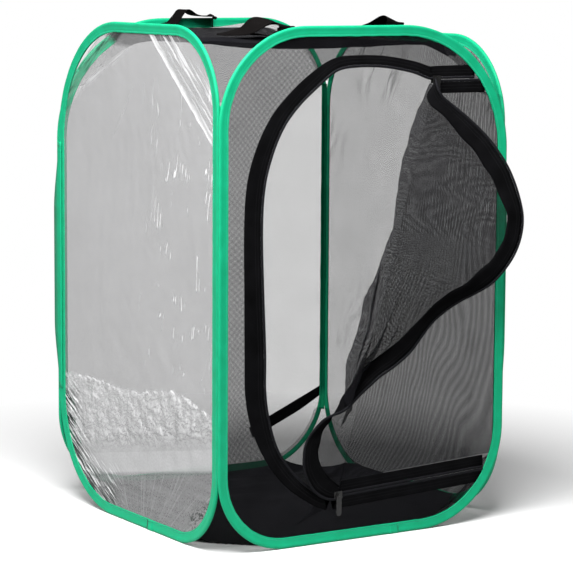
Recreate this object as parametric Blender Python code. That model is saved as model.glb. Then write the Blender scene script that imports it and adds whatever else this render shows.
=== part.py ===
"""Pop-up insect cage: four sprung fabric hoops, mesh and clear walls, and a zipped door that stands open."""

import math

import bmesh
import bpy
from mathutils import Vector

# Driving sizes of the whole cage, in metres, +Z up, origin at the middle of the floor
CAGE_WIDTH = 0.400
CAGE_DEPTH = 0.400
CAGE_HEIGHT = 0.600
RIGHT_WALL_DROP = 0.014

# Corner radii of each hoop: low bottom, high bottom, high top, low top, along the wall's own run
FRONT_RADII = (0.090, 0.118, 0.150, 0.115)
LEFT_RADII = (0.090, 0.135, 0.150, 0.098)
RIGHT_RADII = (0.105, 0.105, 0.105, 0.105)
BACK_RADII = (0.105, 0.105, 0.105, 0.150)

# The hoop: a spring wire in a folded binding tape, with the wall's cloth sewn between its plies
WIRE_DIAMETER = 0.0020
BINDING_PLY = 0.0007
BINDING_REACH = 0.0125
CLEARANCE = 0.0003
SHEET_THICKNESS = 0.0006
BINDING_BEVEL_SHARE = 0.75
CORNER_STEPS = 8
WIRE_SIDES = 6

# The zip: woven tapes with a nylon coil along one edge
ZIP_TAPE_WIDTH = 0.024
ZIP_TAPE_THICKNESS = 0.0010
COIL_DIAMETER = 0.0024
COIL_GAP = 0.0012
COIL_SIDES = 6
PANEL_TAPE_WIDTH = 0.013

# The zip's sliders and their pulls
SLIDER_LENGTH = 0.0110
SLIDER_WIDTH = 0.0088
SLIDER_PLATE = 0.0010
SLIDER_WEB = 0.0006
SLIDER_FLANGE = 0.0009
STUD_DIAMETER = 0.0022
STUD_HEIGHT = 0.0022
STUD_HEAD_DIAMETER = 0.0042
STUD_HEAD_HEIGHT = 0.0006
PULL_LENGTH = 0.028
PULL_WIDTH = 0.0070
PULL_THICKNESS = 0.0014
ROUND_SIDES = 12

# The open door flap, measured from the line between the two sliders
FLAP_REACH = 0.120
FLAP_LIFT = 0.070
FLAP_FOLD = 0.046
FLAP_FOLD_LIFT_SHARE = 0.75
FLAP_END_SHARE = 0.024
FLAP_TAPE_MOST_SHARE = 0.55
FLAP_EDGE_STEPS = 6
FLAP_STATIONS = 30
FLAP_ROWS = 6
FLAP_TAPE_ROWS = 2

# The roof and the floor
ROOF_SAG = 0.020
ROOF_CORNER_DROP = 0.0715
FLOOR_CORNER_RISE = 0.0640
CLOTH_STATIONS = 16
SEAM_FACTOR_COUNT = 5
FLOOR_FACTOR_COUNT = 8

# The strips that join the hoops along their edges, the strap and the handles
STRIP_WIDTH = 0.009
STRIP_LOW = 0.080
STRIP_HIGH = 0.512
OUTER_STRIP_LOW = 0.138
OUTER_STRIP_HIGH = 0.448
STRAP_WIDTH = 0.025
STRAP_THICKNESS = 0.0012
HANDLE_REACH = 0.120
HANDLE_RISE = 0.026
HANDLE_STEPS = 3

# Worked out from the sizes above
HALF_WIDTH = CAGE_WIDTH / 2
HALF_DEPTH = CAGE_DEPTH / 2
RIM = WIRE_DIAMETER + 2 * (CLEARANCE + BINDING_PLY)
SIDE_DEPTH = CAGE_DEPTH - 2 * (RIM + CLEARANCE)
FRONT_PLANE = HALF_DEPTH - RIM / 2
SIDE_PLANE = HALF_WIDTH - RIM / 2
SEAM_HALF = SHEET_THICKNESS / 2 + CLEARANCE
WIRE_ZONE = RIM - BINDING_PLY + CLEARANCE
CLOTH_INSET = RIM / 2 + CLEARANCE + SHEET_THICKNESS / 2
COIL_PITCH = COIL_DIAMETER + COIL_GAP
TAPE_START = COIL_DIAMETER / 2 + CLEARANCE
CUT_DEPTH = BINDING_REACH
HANDLE_INSET = RIM + CLEARANCE + STRAP_THICKNESS / 2
OUTWARD = Vector((0, -1, 0))
UP = Vector((0, 0, 1))

# Each hoop's run, height and corner radii
HOOP_SIZES = {
    "front": (CAGE_WIDTH, CAGE_HEIGHT, FRONT_RADII),
    "left": (SIDE_DEPTH, CAGE_HEIGHT, LEFT_RADII),
    "right": (SIDE_DEPTH, CAGE_HEIGHT - RIGHT_WALL_DROP, RIGHT_RADII),
    "back": (CAGE_WIDTH, CAGE_HEIGHT, BACK_RADII),
}

# The zip's coil line on the front wall, from the right hoop over the top and left to the right hoop again:
# across and up as shares of the half width and the height, and the tape's width as a share of the full tape
DOOR_LINE_SHARES = (
    (0.99, 0.8967, 0.54), (0.72, 0.8967, 0.54), (0.475, 0.8967, 0.52), (0.42, 0.8970, 0.50),
    (0.30, 0.910, 0.46), (0.10, 0.921, 0.45), (-0.10, 0.922, 0.47), (-0.225, 0.914, 0.55),
    (-0.345, 0.886, 0.68), (-0.475, 0.850, 0.72), (-0.575, 0.810, 0.80), (-0.650, 0.758, 0.88),
    (-0.700, 0.697, 0.92), (-0.715, 0.617, 0.92), (-0.705, 0.500, 0.98), (-0.690, 0.383, 1.08),
    (-0.688, 0.308, 1.05), (-0.660, 0.250, 0.96), (-0.600, 0.192, 0.75), (-0.490, 0.142, 0.66),
    (-0.350, 0.104, 0.56), (-0.245, 0.0872, 0.54), (-0.190, 0.0883, 0.52), (0.30, 0.0965, 0.54),
    (0.99, 0.108, 0.54),
)
DOOR_STEPS = 3
UPPER_SLIDER_STEPS = 2
LOWER_SLIDER_STEPS = 22

# The flap's free edge from the lower slider to the upper one: along the line between them, then across
# it to the right and out from the wall, as shares of the line's length, of the reach and of the lift
FLAP_EDGE_SHARES = (
    (0.000, 0.00, 0.00), (0.004, -0.28, 0.13), (0.032, -0.47, 0.23), (0.072, -0.59, 0.31),
    (0.120, -0.60, 0.37), (0.180, -0.48, 0.43), (0.240, -0.32, 0.47), (0.320, -0.08, 0.53),
    (0.392, 0.17, 0.60), (0.450, 0.43, 0.69), (0.510, 0.68, 0.80), (0.572, 0.89, 0.91),
    (0.630, 0.98, 1.00), (0.697, 0.99, 1.00), (0.759, 0.94, 0.91), (0.813, 0.85, 0.77),
    (0.851, 0.69, 0.60), (0.885, 0.48, 0.43), (0.917, 0.31, 0.33), (0.950, 0.14, 0.24),
    (0.984, 0.02, 0.18), (1.000, -0.02, 0.14),
)

# The handles' loops: across the wall as a share of its half width, in from the wall as a share of the
# reach, up from the hoop's top as a share of the rise, and which way the webbing's width points there
FRONT_HANDLE_SHARES = (
    (-0.55, 0.00, 0.00, (1.0, 0.0, 0.0)), (-0.55, 0.01, 0.26, (1.0, 0.0, 0.0)),
    (-0.58, 0.09, 0.28, (0.9, 0.2, 0.1)), (-0.63, 0.25, 0.14, (0.8, 0.2, 0.6)),
    (-0.67, 0.42, 0.04, (0.8, 0.0, 0.6)), (-0.68, 0.64, -0.06, (0.8, -0.2, 0.5)),
    (-0.63, 0.84, -0.18, (0.6, -0.6, 0.3)), (-0.50, 0.97, -0.34, (0.1, -1.0, 0.1)),
    (-0.30, 0.97, -0.56, (0.0, -1.0, 0.0)), (-0.07, 0.84, -0.50, (-0.3, -0.9, 0.1)),
    (0.09, 0.60, -0.34, (-0.7, -0.7, 0.1)), (0.17, 0.32, -0.08, (-0.9, -0.3, 0.1)),
    (0.19, 0.11, 0.36, (-1.0, -0.1, 0.1)), (0.19, 0.01, 0.30, (-1.0, 0.0, 0.0)),
    (0.19, 0.00, 0.00, (-1.0, 0.0, 0.0)),
)
BACK_HANDLE_SHARES = (
    (0.080, 0.09, 0.00, (0.5, 0.85, 0.0)), (0.080, 0.09, 0.20, (0.5, 0.85, 0.0)),
    (0.045, 0.09, 0.30, (0.3, 0.9, 0.0)), (-0.03, 0.09, 0.34, (0.1, 1.0, 0.0)),
    (-0.08, 0.09, 0.38, (0.0, 1.0, 0.0)), (-0.13, 0.09, 0.42, (0.0, 1.0, 0.0)),
    (-0.18, 0.10, 0.34, (0.0, 1.0, 0.0)), (-0.22, 0.12, 0.10, (0.0, 1.0, 0.0)),
    (-0.27, 0.16, -0.20, (0.0, 1.0, 0.1)), (-0.36, 0.19, -0.36, (0.0, 1.0, 0.1)),
    (-0.46, 0.17, -0.16, (0.3, 0.9, 0.0)), (-0.53, 0.09, 0.08, (0.8, 0.5, 0.0)),
    (-0.55, 0.02, 0.20, (1.0, 0.1, 0.0)), (-0.55, 0.00, 0.16, (1.0, 0.0, 0.0)),
    (-0.55, 0.00, 0.00, (1.0, 0.0, 0.0)),
)

# The strap across the back wall's lower corner: its middle line's ends, as shares of half width and height
STRAP_END_SHARES = ((0.20, 0.0255), (0.975, 0.144))

MATERIALS = {
    "green_binding": ((0.010, 0.520, 0.260), 0.55, 0.0),
    "spring_steel": ((0.420, 0.420, 0.440), 0.35, 1.0),
    "black_mesh": ((0.020, 0.020, 0.024), 0.85, 0.0),
    "clear_sheet": ((0.800, 0.820, 0.830), 0.12, 0.0),
    "black_cloth": ((0.012, 0.012, 0.014), 0.90, 0.0),
    "zip_tape": ((0.008, 0.008, 0.010), 0.80, 0.0),
    "zip_coil": ((0.015, 0.015, 0.018), 0.40, 0.0),
    "zip_metal": ((0.060, 0.060, 0.065), 0.35, 1.0),
    "webbing": ((0.014, 0.013, 0.013), 0.75, 0.0),
}


def clear_scene():
    for thing in list(bpy.data.objects):
        bpy.data.objects.remove(thing, do_unlink=True)


def material(name):
    """The finish of that name, made once."""
    found = bpy.data.materials.get(name)
    if found:
        return found
    colour, roughness, metallic = MATERIALS[name]
    made = bpy.data.materials.new(name)
    made.use_nodes = True
    shader = made.node_tree.nodes["Principled BSDF"]
    shader.inputs["Base Color"].default_value = (*colour, 1.0)
    shader.inputs["Roughness"].default_value = roughness
    shader.inputs["Metallic"].default_value = metallic
    return made


def solid(name, verts, faces, finish, carrier=None):
    """A named object from its points and faces, with its faces outward, on its carrier if it has one."""
    mesh = bpy.data.meshes.new(name)
    mesh.from_pydata([tuple(v) for v in verts], [], faces)
    bm = bmesh.new()
    bm.from_mesh(mesh)
    bmesh.ops.recalc_face_normals(bm, faces=bm.faces)
    bm.to_mesh(mesh)
    bm.free()
    obj = bpy.data.objects.new(name, mesh)
    bpy.context.scene.collection.objects.link(obj)
    obj.data.materials.append(material(finish))
    if carrier:
        obj.parent = carrier
        obj.matrix_parent_inverse = carrier.matrix_world.inverted()
    return obj


def pivot(name, place, parent=None):
    """An empty on a joint's axis, which carries what moves about it."""
    empty = bpy.data.objects.new(name, None)
    empty.empty_display_size = SLIDER_LENGTH
    bpy.context.scene.collection.objects.link(empty)
    empty.location = place
    bpy.context.view_layer.update()
    if parent:
        empty.parent = parent
        empty.matrix_parent_inverse = parent.matrix_world.inverted()
        bpy.context.view_layer.update()
    return empty


def on_wall(wall, across, up, out):
    """A world point from a place on a wall: along its run, up, and out from the middle of its cloth."""
    if wall == "front":
        return Vector((across, -FRONT_PLANE - out, up))
    if wall == "back":
        return Vector((across, FRONT_PLANE + out, up))
    if wall == "left":
        return Vector((-SIDE_PLANE - out, across, up))
    return Vector((SIDE_PLANE + out, across, up))


def smooth_line(points, steps):
    """Points on a Catmull-Rom curve through the given vectors."""
    line = []
    last = len(points) - 1
    for i in range(last):
        before, start = points[max(i - 1, 0)], points[i]
        end, after = points[i + 1], points[min(i + 2, last)]
        for k in range(steps):
            t = k / steps
            line.append(
                0.5 * (2 * start + (end - before) * t
                       + (2 * before - 5 * start + 4 * end - after) * t ** 2
                       + (3 * start - before - 3 * end + after) * t ** 3)
            )
    line.append(points[last].copy())
    return line


def loft(rings, closed):
    """Faces between rings of equal size: round again to the first ring, or capped at both ends."""
    size = len(rings[0])
    verts = [v for ring in rings for v in ring]
    faces = []
    for i in range(len(rings) if closed else len(rings) - 1):
        here, there = i * size, (i + 1) % len(rings) * size
        for k in range(size):
            n = (k + 1) % size
            faces.append((here + k, here + n, there + n, there + k))
    if not closed:
        faces.append(tuple(range(size)))
        faces.append(tuple(range((len(rings) - 1) * size, len(rings) * size)))
    return verts, faces


# The hoops

def hoop_stations(run, height, radii):
    """Points round a hoop's outer edge, each with the way that points outward there."""
    half = run / 2
    low_bottom, high_bottom, high_top, low_top = radii
    corners = (
        (-half + low_bottom, low_bottom, low_bottom, 180),
        (half - high_bottom, high_bottom, high_bottom, 270),
        (half - high_top, height - high_top, high_top, 0),
        (-half + low_top, height - low_top, low_top, 90),
    )
    stations = []
    for centre_across, centre_up, radius, first in corners:
        for step in range(CORNER_STEPS + 1):
            angle = math.radians(first + 90 * step / CORNER_STEPS)
            way = Vector((math.cos(angle), math.sin(angle)))
            stations.append((Vector((centre_across, centre_up)) + radius * way, way))
    return stations


HOOPS = {wall: hoop_stations(*sizes) for wall, sizes in HOOP_SIZES.items()}


def binding(wall, carrier):
    """The folded tape: a channel round the wire that tapers to the seam."""
    thin = SEAM_HALF + BINDING_PLY
    thick = RIM / 2
    bevel = BINDING_PLY * BINDING_BEVEL_SHARE
    section = (
        (BINDING_REACH, thin), (WIRE_ZONE, thick), (bevel, thick), (0, thick - bevel),
        (0, bevel - thick), (bevel, -thick), (WIRE_ZONE, -thick), (BINDING_REACH, -thin),
        (BINDING_REACH, -SEAM_HALF), (WIRE_ZONE, BINDING_PLY - thick), (BINDING_PLY, BINDING_PLY - thick),
        (BINDING_PLY, thick - BINDING_PLY), (WIRE_ZONE, thick - BINDING_PLY), (BINDING_REACH, SEAM_HALF),
    )
    rings = []
    for point, way in HOOPS[wall]:
        rings.append([on_wall(wall, *(point - way * inward), out) for inward, out in section])
    verts, faces = loft(rings, True)
    return solid(f"{wall}_binding", verts, faces, "green_binding", carrier)


def wire(wall, carrier):
    """The spring wire, a closed hoop that lies in the fold of the tape."""
    radius = WIRE_DIAMETER / 2
    rings = []
    for point, way in HOOPS[wall]:
        ring = []
        for k in range(WIRE_SIDES):
            angle = 2 * math.pi * k / WIRE_SIDES
            inward = RIM / 2 + radius * math.cos(angle)
            ring.append(on_wall(wall, *(point - way * inward), radius * math.sin(angle)))
        rings.append(ring)
    verts, faces = loft(rings, True)
    return solid(f"{wall}_wire", verts, faces, "spring_steel", carrier)


def plate(name, outline, wall, thickness, finish, carrier=None):
    """A flat sheet of that outline in a wall's plane."""
    half = thickness / 2
    front = [on_wall(wall, *p, half) for p in outline]
    back = [on_wall(wall, *p, -half) for p in outline]
    verts, faces = loft([front, back], False)
    return solid(name, verts, faces, finish, carrier)


def hoop_outline(wall, inward):
    return [point - way * inward for point, way in HOOPS[wall]]


def wall_sheet(name, wall, finish, carrier):
    """The wall's cloth, whose edge lies between the binding's plies."""
    return plate(name, hoop_outline(wall, WIRE_ZONE + CLEARANCE), wall, SHEET_THICKNESS, finish, carrier)


# The front wall's zip and door

def door_line():
    """The surround coil's line from hoop to hoop, with the tape's width at each point."""
    rows = [Vector((a * HALF_WIDTH, u * CAGE_HEIGHT, w * ZIP_TAPE_WIDTH)) for a, u, w in DOOR_LINE_SHARES]
    return smooth_line(rows, DOOR_STEPS)


DOOR_LINE = door_line()
DOOR_POINTS = [Vector(row[:2]) for row in DOOR_LINE]
UPPER_STATION = UPPER_SLIDER_STEPS * DOOR_STEPS
LOWER_STATION = LOWER_SLIDER_STEPS * DOOR_STEPS


def away_from_door(i):
    """The way that points from the door's line out to the surround."""
    before = DOOR_POINTS[max(i - 1, 0)]
    after = DOOR_POINTS[min(i + 1, len(DOOR_POINTS) - 1)]
    along = (after - before).normalized()
    return Vector((along.y, -along.x))


def door_offset(i, distance):
    return DOOR_POINTS[i] + away_from_door(i) * distance


def flat_strip(name, inner, outer, wall, thickness, finish, carrier=None):
    """A strip between two lines of equal count in a wall's plane."""
    half = thickness / 2
    rings = []
    for near, far in zip(inner, outer):
        rings.append([on_wall(wall, *near, -half), on_wall(wall, *far, -half),
                      on_wall(wall, *far, half), on_wall(wall, *near, half)])
    verts, faces = loft(rings, False)
    return solid(name, verts, faces, finish, carrier)


def as_tool(obj):
    """Marks a body that is used only to cut or join."""
    obj.hide_render = True
    obj.display_type = "WIRE"
    return obj


def cutter(name, outline):
    """A prism through the front wall."""
    return as_tool(plate(name, outline, "front", CUT_DEPTH, "black_mesh"))


def cut(obj, tool, operation):
    step = obj.modifiers.new("Cut", "BOOLEAN")
    step.operation = operation
    step.object = tool


def coil(name, line, carrier=None):
    """A round cord of zip coil along a line of world points."""
    radius = COIL_DIAMETER / 2
    rings = []
    for i, point in enumerate(line):
        along = (line[min(i + 1, len(line) - 1)] - line[max(i - 1, 0)]).normalized()
        side = along.cross(Vector((0, 1, 0))).normalized()
        up = side.cross(along)
        ring = []
        for k in range(COIL_SIDES):
            angle = 2 * math.pi * (k + 0.5) / COIL_SIDES
            ring.append(point + radius * (math.cos(angle) * side + math.sin(angle) * up))
        rings.append(ring)
    verts, faces = loft(rings, False)
    return solid(name, verts, faces, "zip_coil", carrier)


def front_field():
    """The clear area inside the front hoop's binding, as a cutter."""
    return cutter("front_field", hoop_outline("front", BINDING_REACH + CLEARANCE))


def surround(field):
    """The fixed mesh outside the zip, its tape and its coil."""
    count = len(DOOR_LINE)
    inner = [door_offset(i, TAPE_START) for i in range(count)]
    outer = [door_offset(i, TAPE_START + DOOR_LINE[i].z) for i in range(count)]
    tape = flat_strip("zip_tape_surround", inner, outer, "front", ZIP_TAPE_THICKNESS, "zip_tape")
    cut(tape, field, "INTERSECT")
    cord = coil("zip_coil_surround", [on_wall("front", *p, 0) for p in DOOR_POINTS])
    cut(cord, field, "INTERSECT")
    hole = [door_offset(i, TAPE_START + DOOR_LINE[i].z + CLEARANCE) for i in range(count)]
    mesh = wall_sheet("front_surround_mesh", "front", "black_mesh", None)
    cut(mesh, cutter("door_hole", hole), "DIFFERENCE")


def hinge_frame():
    """Where the flap folds: its low end, the way up along it, and the way to the right across it."""
    low = door_offset(LOWER_STATION, -COIL_PITCH / 2)
    high = door_offset(UPPER_STATION, -COIL_PITCH / 2)
    along = (high - low).normalized()
    return low, (high - low).length, along, Vector((along.y, -along.x))


HINGE_LOW, HINGE_LENGTH, HINGE_ALONG, HINGE_RIGHT = hinge_frame()


def panel_corner(station, distance):
    """Where a line inside the zip meets the flap's fold, a seam's width to its right."""
    end = HINGE_LOW if station == LOWER_STATION else HINGE_LOW + HINGE_ALONG * HINGE_LENGTH
    inward = -away_from_door(station)
    along = HINGE_ALONG * ((distance - COIL_PITCH / 2) / HINGE_ALONG.dot(inward))
    return end + along + HINGE_RIGHT * SHEET_THICKNESS


def panel_line(stations, distance):
    """A line inside the closed zip, from the flap's fold to the hoop."""
    return [panel_corner(stations[0], distance)] + [door_offset(i, -distance) for i in stations[1:]]


def panel(field):
    """The part of the door that stays shut: its mesh, tapes and coils between the sliders and the hoop."""
    upper = range(UPPER_STATION, -1, -1)
    lower = range(LOWER_STATION, len(DOOR_POINTS))
    start = COIL_PITCH + TAPE_START
    end = start + PANEL_TAPE_WIDTH
    for label, stations in (("upper", upper), ("lower", lower)):
        tape = flat_strip(f"zip_tape_panel_{label}", panel_line(stations, start), panel_line(stations, end),
                          "front", ZIP_TAPE_THICKNESS, "zip_tape")
        cut(tape, field, "INTERSECT")
        line = [on_wall("front", *door_offset(i, -COIL_PITCH), 0) for i in stations]
        cut(coil(f"zip_coil_panel_{label}", line), field, "INTERSECT")
    outline = panel_line(lower, end + CLEARANCE) + panel_line(upper, end + CLEARANCE)[::-1]
    mesh = wall_sheet("door_panel_mesh", "front", "black_mesh", None)
    cut(mesh, cutter("panel_area", outline), "INTERSECT")


def flap_point(along, right, out):
    flat = HINGE_LOW + HINGE_ALONG * along + HINGE_RIGHT * right
    return on_wall("front", *flat, out)


def flap_edge():
    """The flap's free edge as world points at even steps along the line between the sliders."""
    rows = [Vector((a * HINGE_LENGTH, r * FLAP_REACH, o * FLAP_LIFT)) for a, r, o in FLAP_EDGE_SHARES]
    fine = smooth_line(rows, FLAP_EDGE_STEPS)
    length = [0.0]
    for i in range(1, len(fine)):
        length.append(length[-1] + (fine[i] - fine[i - 1]).length)
    edge = []
    for k in range(FLAP_STATIONS + 1):
        target = length[-1] * k / FLAP_STATIONS
        i = max(j for j in range(len(fine) - 1) if length[j] <= target)
        edge.append(fine[i].lerp(fine[i + 1], (target - length[i]) / (length[i + 1] - length[i])))
    return edge


FLAP_EDGE = flap_edge()


def flap_surface(k, share):
    """A point of the flap: from the fold line at share 0, round the soft fold, to the edge at share 1."""
    station = FLAP_END_SHARE + (1 - 2 * FLAP_END_SHARE) * k / FLAP_STATIONS
    place = station * FLAP_STATIONS
    i = min(int(place), FLAP_STATIONS - 1)
    edge = FLAP_EDGE[i].lerp(FLAP_EDGE[i + 1], place - i)
    start = Vector((station * HINGE_LENGTH, -SHEET_THICKNESS, 0))
    swell = math.sin(math.pi * station)
    turn = start + Vector((0, -FLAP_FOLD * swell, FLAP_FOLD * FLAP_FOLD_LIFT_SHARE * swell))
    left = 1 - share
    return start * left ** 2 + turn * 2 * share * left + edge * share ** 2


def flap_tape_share(k):
    """Where the tape's inner edge lies, as a share of the way from the fold to the free edge."""
    line = [flap_surface(k, j / FLAP_ROWS) for j in range(FLAP_ROWS + 1)]
    reach = sum((there - here).length for here, there in zip(line, line[1:]))
    return 1 - min(ZIP_TAPE_WIDTH / max(reach, ZIP_TAPE_WIDTH), FLAP_TAPE_MOST_SHARE)


def thick_sheet(name, grid, thickness, finish, carrier):
    """A closed sheet of even thickness about a grid of world points."""
    rows, columns = len(grid), len(grid[0])
    front, back = [], []
    for i in range(rows):
        for j in range(columns):
            down = grid[min(i + 1, rows - 1)][j] - grid[max(i - 1, 0)][j]
            side = grid[i][min(j + 1, columns - 1)] - grid[i][max(j - 1, 0)]
            normal = down.cross(side).normalized() * (thickness / 2)
            front.append(grid[i][j] + normal)
            back.append(grid[i][j] - normal)
    base = rows * columns
    faces = []
    for i in range(rows - 1):
        for j in range(columns - 1):
            a, b = i * columns + j, (i + 1) * columns + j
            for triangle in ((a, a + 1, b + 1), (a, b + 1, b)):
                faces.append(triangle)
                faces.append(tuple(base + v for v in reversed(triangle)))
    rim = list(range(columns))
    rim += [i * columns + columns - 1 for i in range(1, rows)]
    rim += [(rows - 1) * columns + j for j in range(columns - 2, -1, -1)]
    rim += [i * columns for i in range(rows - 2, 0, -1)]
    for a, b in zip(rim, rim[1:] + rim[:1]):
        faces.append((b, a, base + a, base + b))
    return solid(name, front + back, faces, finish, carrier)


def flap(carrier):
    """The open part of the door: mesh, tape and coil in the form that the folded cloth takes."""
    mesh_grid, tape_grid, coil_line = [], [], []
    for k in range(FLAP_STATIONS + 1):
        seam = flap_tape_share(k)
        to_edge = flap_surface(k, 1) - flap_surface(k, seam)
        step = SHEET_THICKNESS / to_edge.length * (1 - seam)
        mesh_shares = [(seam - step) * j / FLAP_ROWS for j in range(FLAP_ROWS + 1)]
        tape_shares = [seam + (1 - seam) * j / FLAP_TAPE_ROWS for j in range(FLAP_TAPE_ROWS + 1)]
        mesh_grid.append([flap_point(*flap_surface(k, share)) for share in mesh_shares])
        tape_grid.append([flap_point(*flap_surface(k, share)) for share in tape_shares])
        edge = (flap_surface(min(k + 1, FLAP_STATIONS), 1) - flap_surface(max(k - 1, 0), 1)).normalized()
        clear = (to_edge - edge * to_edge.dot(edge)).normalized()
        coil_line.append(flap_point(*(flap_surface(k, 1) + clear * (TAPE_START + CLEARANCE))))
    thick_sheet("door_flap_mesh", mesh_grid, SHEET_THICKNESS, "black_mesh", carrier)
    thick_sheet("zip_tape_flap", tape_grid, ZIP_TAPE_THICKNESS, "zip_tape", carrier)
    coil("zip_coil_flap", coil_line, carrier)


# The sliders

def section_rings(centre, along, across, out, section, length):
    """Two rings of a section about a centre, one at each end of a length."""
    middle = [centre + across * a + out * b for a, b in section]
    return [[p + along * end * length / 2 for p in middle] for end in (-1, 1)]


def disc(centre, radius):
    """A ring of points round a centre, in a plane along the front wall."""
    side = OUTWARD.cross(UP)
    turns = [2 * math.pi * k / ROUND_SIDES for k in range(ROUND_SIDES)]
    return [centre + radius * (math.cos(t) * side + math.sin(t) * UP) for t in turns]


def slider(label, station, carrier):
    """A slider: two flanged plates joined by a web between the coils, and a headed stud for the pull."""
    middle = door_offset(station, -COIL_PITCH / 2)
    towards = 1 if station > len(DOOR_POINTS) / 2 else -1
    run = (door_offset(station + towards * DOOR_STEPS, -COIL_PITCH / 2) - middle).normalized()
    along = Vector((run.x, 0, run.y))
    across = along.cross(OUTWARD)
    centre = on_wall("front", *middle, 0)
    face = COIL_DIAMETER / 2 + CLEARANCE
    top = face + SLIDER_PLATE
    low = ZIP_TAPE_THICKNESS / 2 + CLEARANCE
    wide = SLIDER_WIDTH / 2
    inner = wide - SLIDER_FLANGE
    quarter = [(SLIDER_WEB / 2, face), (inner, face), (inner, low), (wide, low), (wide, top)]
    section = [(a, -b) for a, b in quarter] + [(-a, -b) for a, b in reversed(quarter)]
    section += [(-a, b) for a, b in quarter] + [(a, b) for a, b in reversed(quarter)]
    verts, faces = loft(section_rings(centre, along, across, OUTWARD, section, SLIDER_LENGTH), False)
    body = solid(f"slider_{label}", verts, faces, "zip_metal", carrier)
    foot = centre + OUTWARD * top
    neck = foot + OUTWARD * STUD_HEIGHT
    head = neck + OUTWARD * STUD_HEAD_HEIGHT
    rings = [disc(foot - OUTWARD * SLIDER_PLATE / 2, STUD_DIAMETER / 2), disc(neck, STUD_DIAMETER / 2),
             disc(neck, STUD_HEAD_DIAMETER / 2), disc(head, STUD_HEAD_DIAMETER / 2)]
    verts, faces = loft(rings, False)
    cut(body, as_tool(solid(f"slider_{label}_stud", verts, faces, "zip_metal")), "UNION")
    return foot


def pull(label, stud_foot, carrier):
    """The pull: a flat tab that hangs from the slider's stud by its eye."""
    eye = stud_foot + OUTWARD * (CLEARANCE + PULL_THICKNESS / 2)
    half = PULL_WIDTH / 2
    foot = eye - UP * (PULL_LENGTH - PULL_WIDTH)
    outline = []
    for centre, first in ((eye, 0), (foot, math.pi)):
        for k in range(ROUND_SIDES // 2 + 1):
            angle = first + 2 * math.pi * k / ROUND_SIDES
            outline.append(centre + Vector((math.cos(angle), 0, math.sin(angle))) * half)
    shift = OUTWARD * (PULL_THICKNESS / 2)
    verts, faces = loft([[p - shift for p in outline], [p + shift for p in outline]], False)
    tab = solid(f"pull_{label}", verts, faces, "zip_metal", carrier)
    hole_radius = STUD_DIAMETER / 2 + CLEARANCE
    rings = [disc(eye + OUTWARD * end * PULL_THICKNESS, hole_radius) for end in (-1, 1)]
    verts, faces = loft(rings, False)
    cut(tab, as_tool(solid(f"pull_{label}_eye", verts, faces, "zip_metal")), "DIFFERENCE")


# The roof and the floor

def seam_height(wall, across, top):
    """How high the binding's inner seam runs at a place along a wall, at the wall's top or bottom."""
    run, height, (low_bottom, high_bottom, high_top, low_top) = HOOP_SIZES[wall]
    if top:
        radius = high_top if across > 0 else low_top
    else:
        radius = high_bottom if across > 0 else low_bottom
    past = max(abs(across) - (run / 2 - radius), 0)
    inner = radius - BINDING_REACH
    fall = inner - math.sqrt(max(inner ** 2 - past ** 2, 0))
    return height - BINDING_REACH - fall if top else BINDING_REACH + fall


def cloth_height(x, y, top):
    """The roof's or the floor's height: it follows the four seams, and sags between them."""
    half_x, half_y = SIDE_PLANE - CLOTH_INSET, FRONT_PLANE - CLOTH_INSET
    level = CAGE_HEIGHT - BINDING_REACH if top else BINDING_REACH
    most = ROOF_CORNER_DROP if top else FLOOR_CORNER_RISE
    sign = -1 if top else 1

    def away(wall, across):
        return min(sign * (seam_height(wall, across, top) - level), most)

    u, v = (x / half_x + 1) / 2, (y / half_y + 1) / 2
    near, far, low, high = (share ** SEAM_FACTOR_COUNT for share in (1 - v, v, 1 - u, u))
    change = away("front", x) * near + away("back", x) * far + away("left", y) * low + away("right", y) * high
    change -= most * (near + far) * (low + high)
    if top:
        sag = ROOF_SAG * (1 - (x / half_x) ** 2) * (1 - (y / half_y) ** 2)
        return level - change - sag
    sag = level * (1 - (x / half_x) ** FLOOR_FACTOR_COUNT) * (1 - (y / half_y) ** FLOOR_FACTOR_COUNT)
    return max(level + change - sag, SHEET_THICKNESS / 2)


def cloth(name, top, finish):
    """The roof or the floor, sewn to the inner seams of the four bindings."""
    half_x, half_y = SIDE_PLANE - CLOTH_INSET, FRONT_PLANE - CLOTH_INSET
    shares = [math.sin(math.pi / 2 * (2 * k / CLOTH_STATIONS - 1)) for k in range(CLOTH_STATIONS + 1)]
    grid = []
    for a in shares:
        x = half_x * a
        grid.append([Vector((x, half_y * b, cloth_height(x, half_y * b, top))) for b in shares])
    return thick_sheet(name, grid, SHEET_THICKNESS, finish, None)


# Strips, strap and handles

def corner_strip(name, side_x, side_y, carrier):
    """A strip of binding cloth folded into the inside of a corner, from hoop to hoop."""
    inner_x, inner_y = SIDE_PLANE - RIM / 2 - CLEARANCE, FRONT_PLANE - RIM / 2 - CLEARANCE
    thick = SHEET_THICKNESS
    shape = ((inner_x, inner_y), (inner_x - STRIP_WIDTH, inner_y), (inner_x - STRIP_WIDTH, inner_y - thick),
             (inner_x - thick, inner_y - thick), (inner_x - thick, inner_y - STRIP_WIDTH),
             (inner_x, inner_y - STRIP_WIDTH))
    rings = [[Vector((side_x * x, side_y * y, z)) for x, y in shape] for z in (STRIP_LOW, STRIP_HIGH)]
    verts, faces = loft(rings, False)
    return solid(name, verts, faces, "green_binding", carrier)


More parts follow.
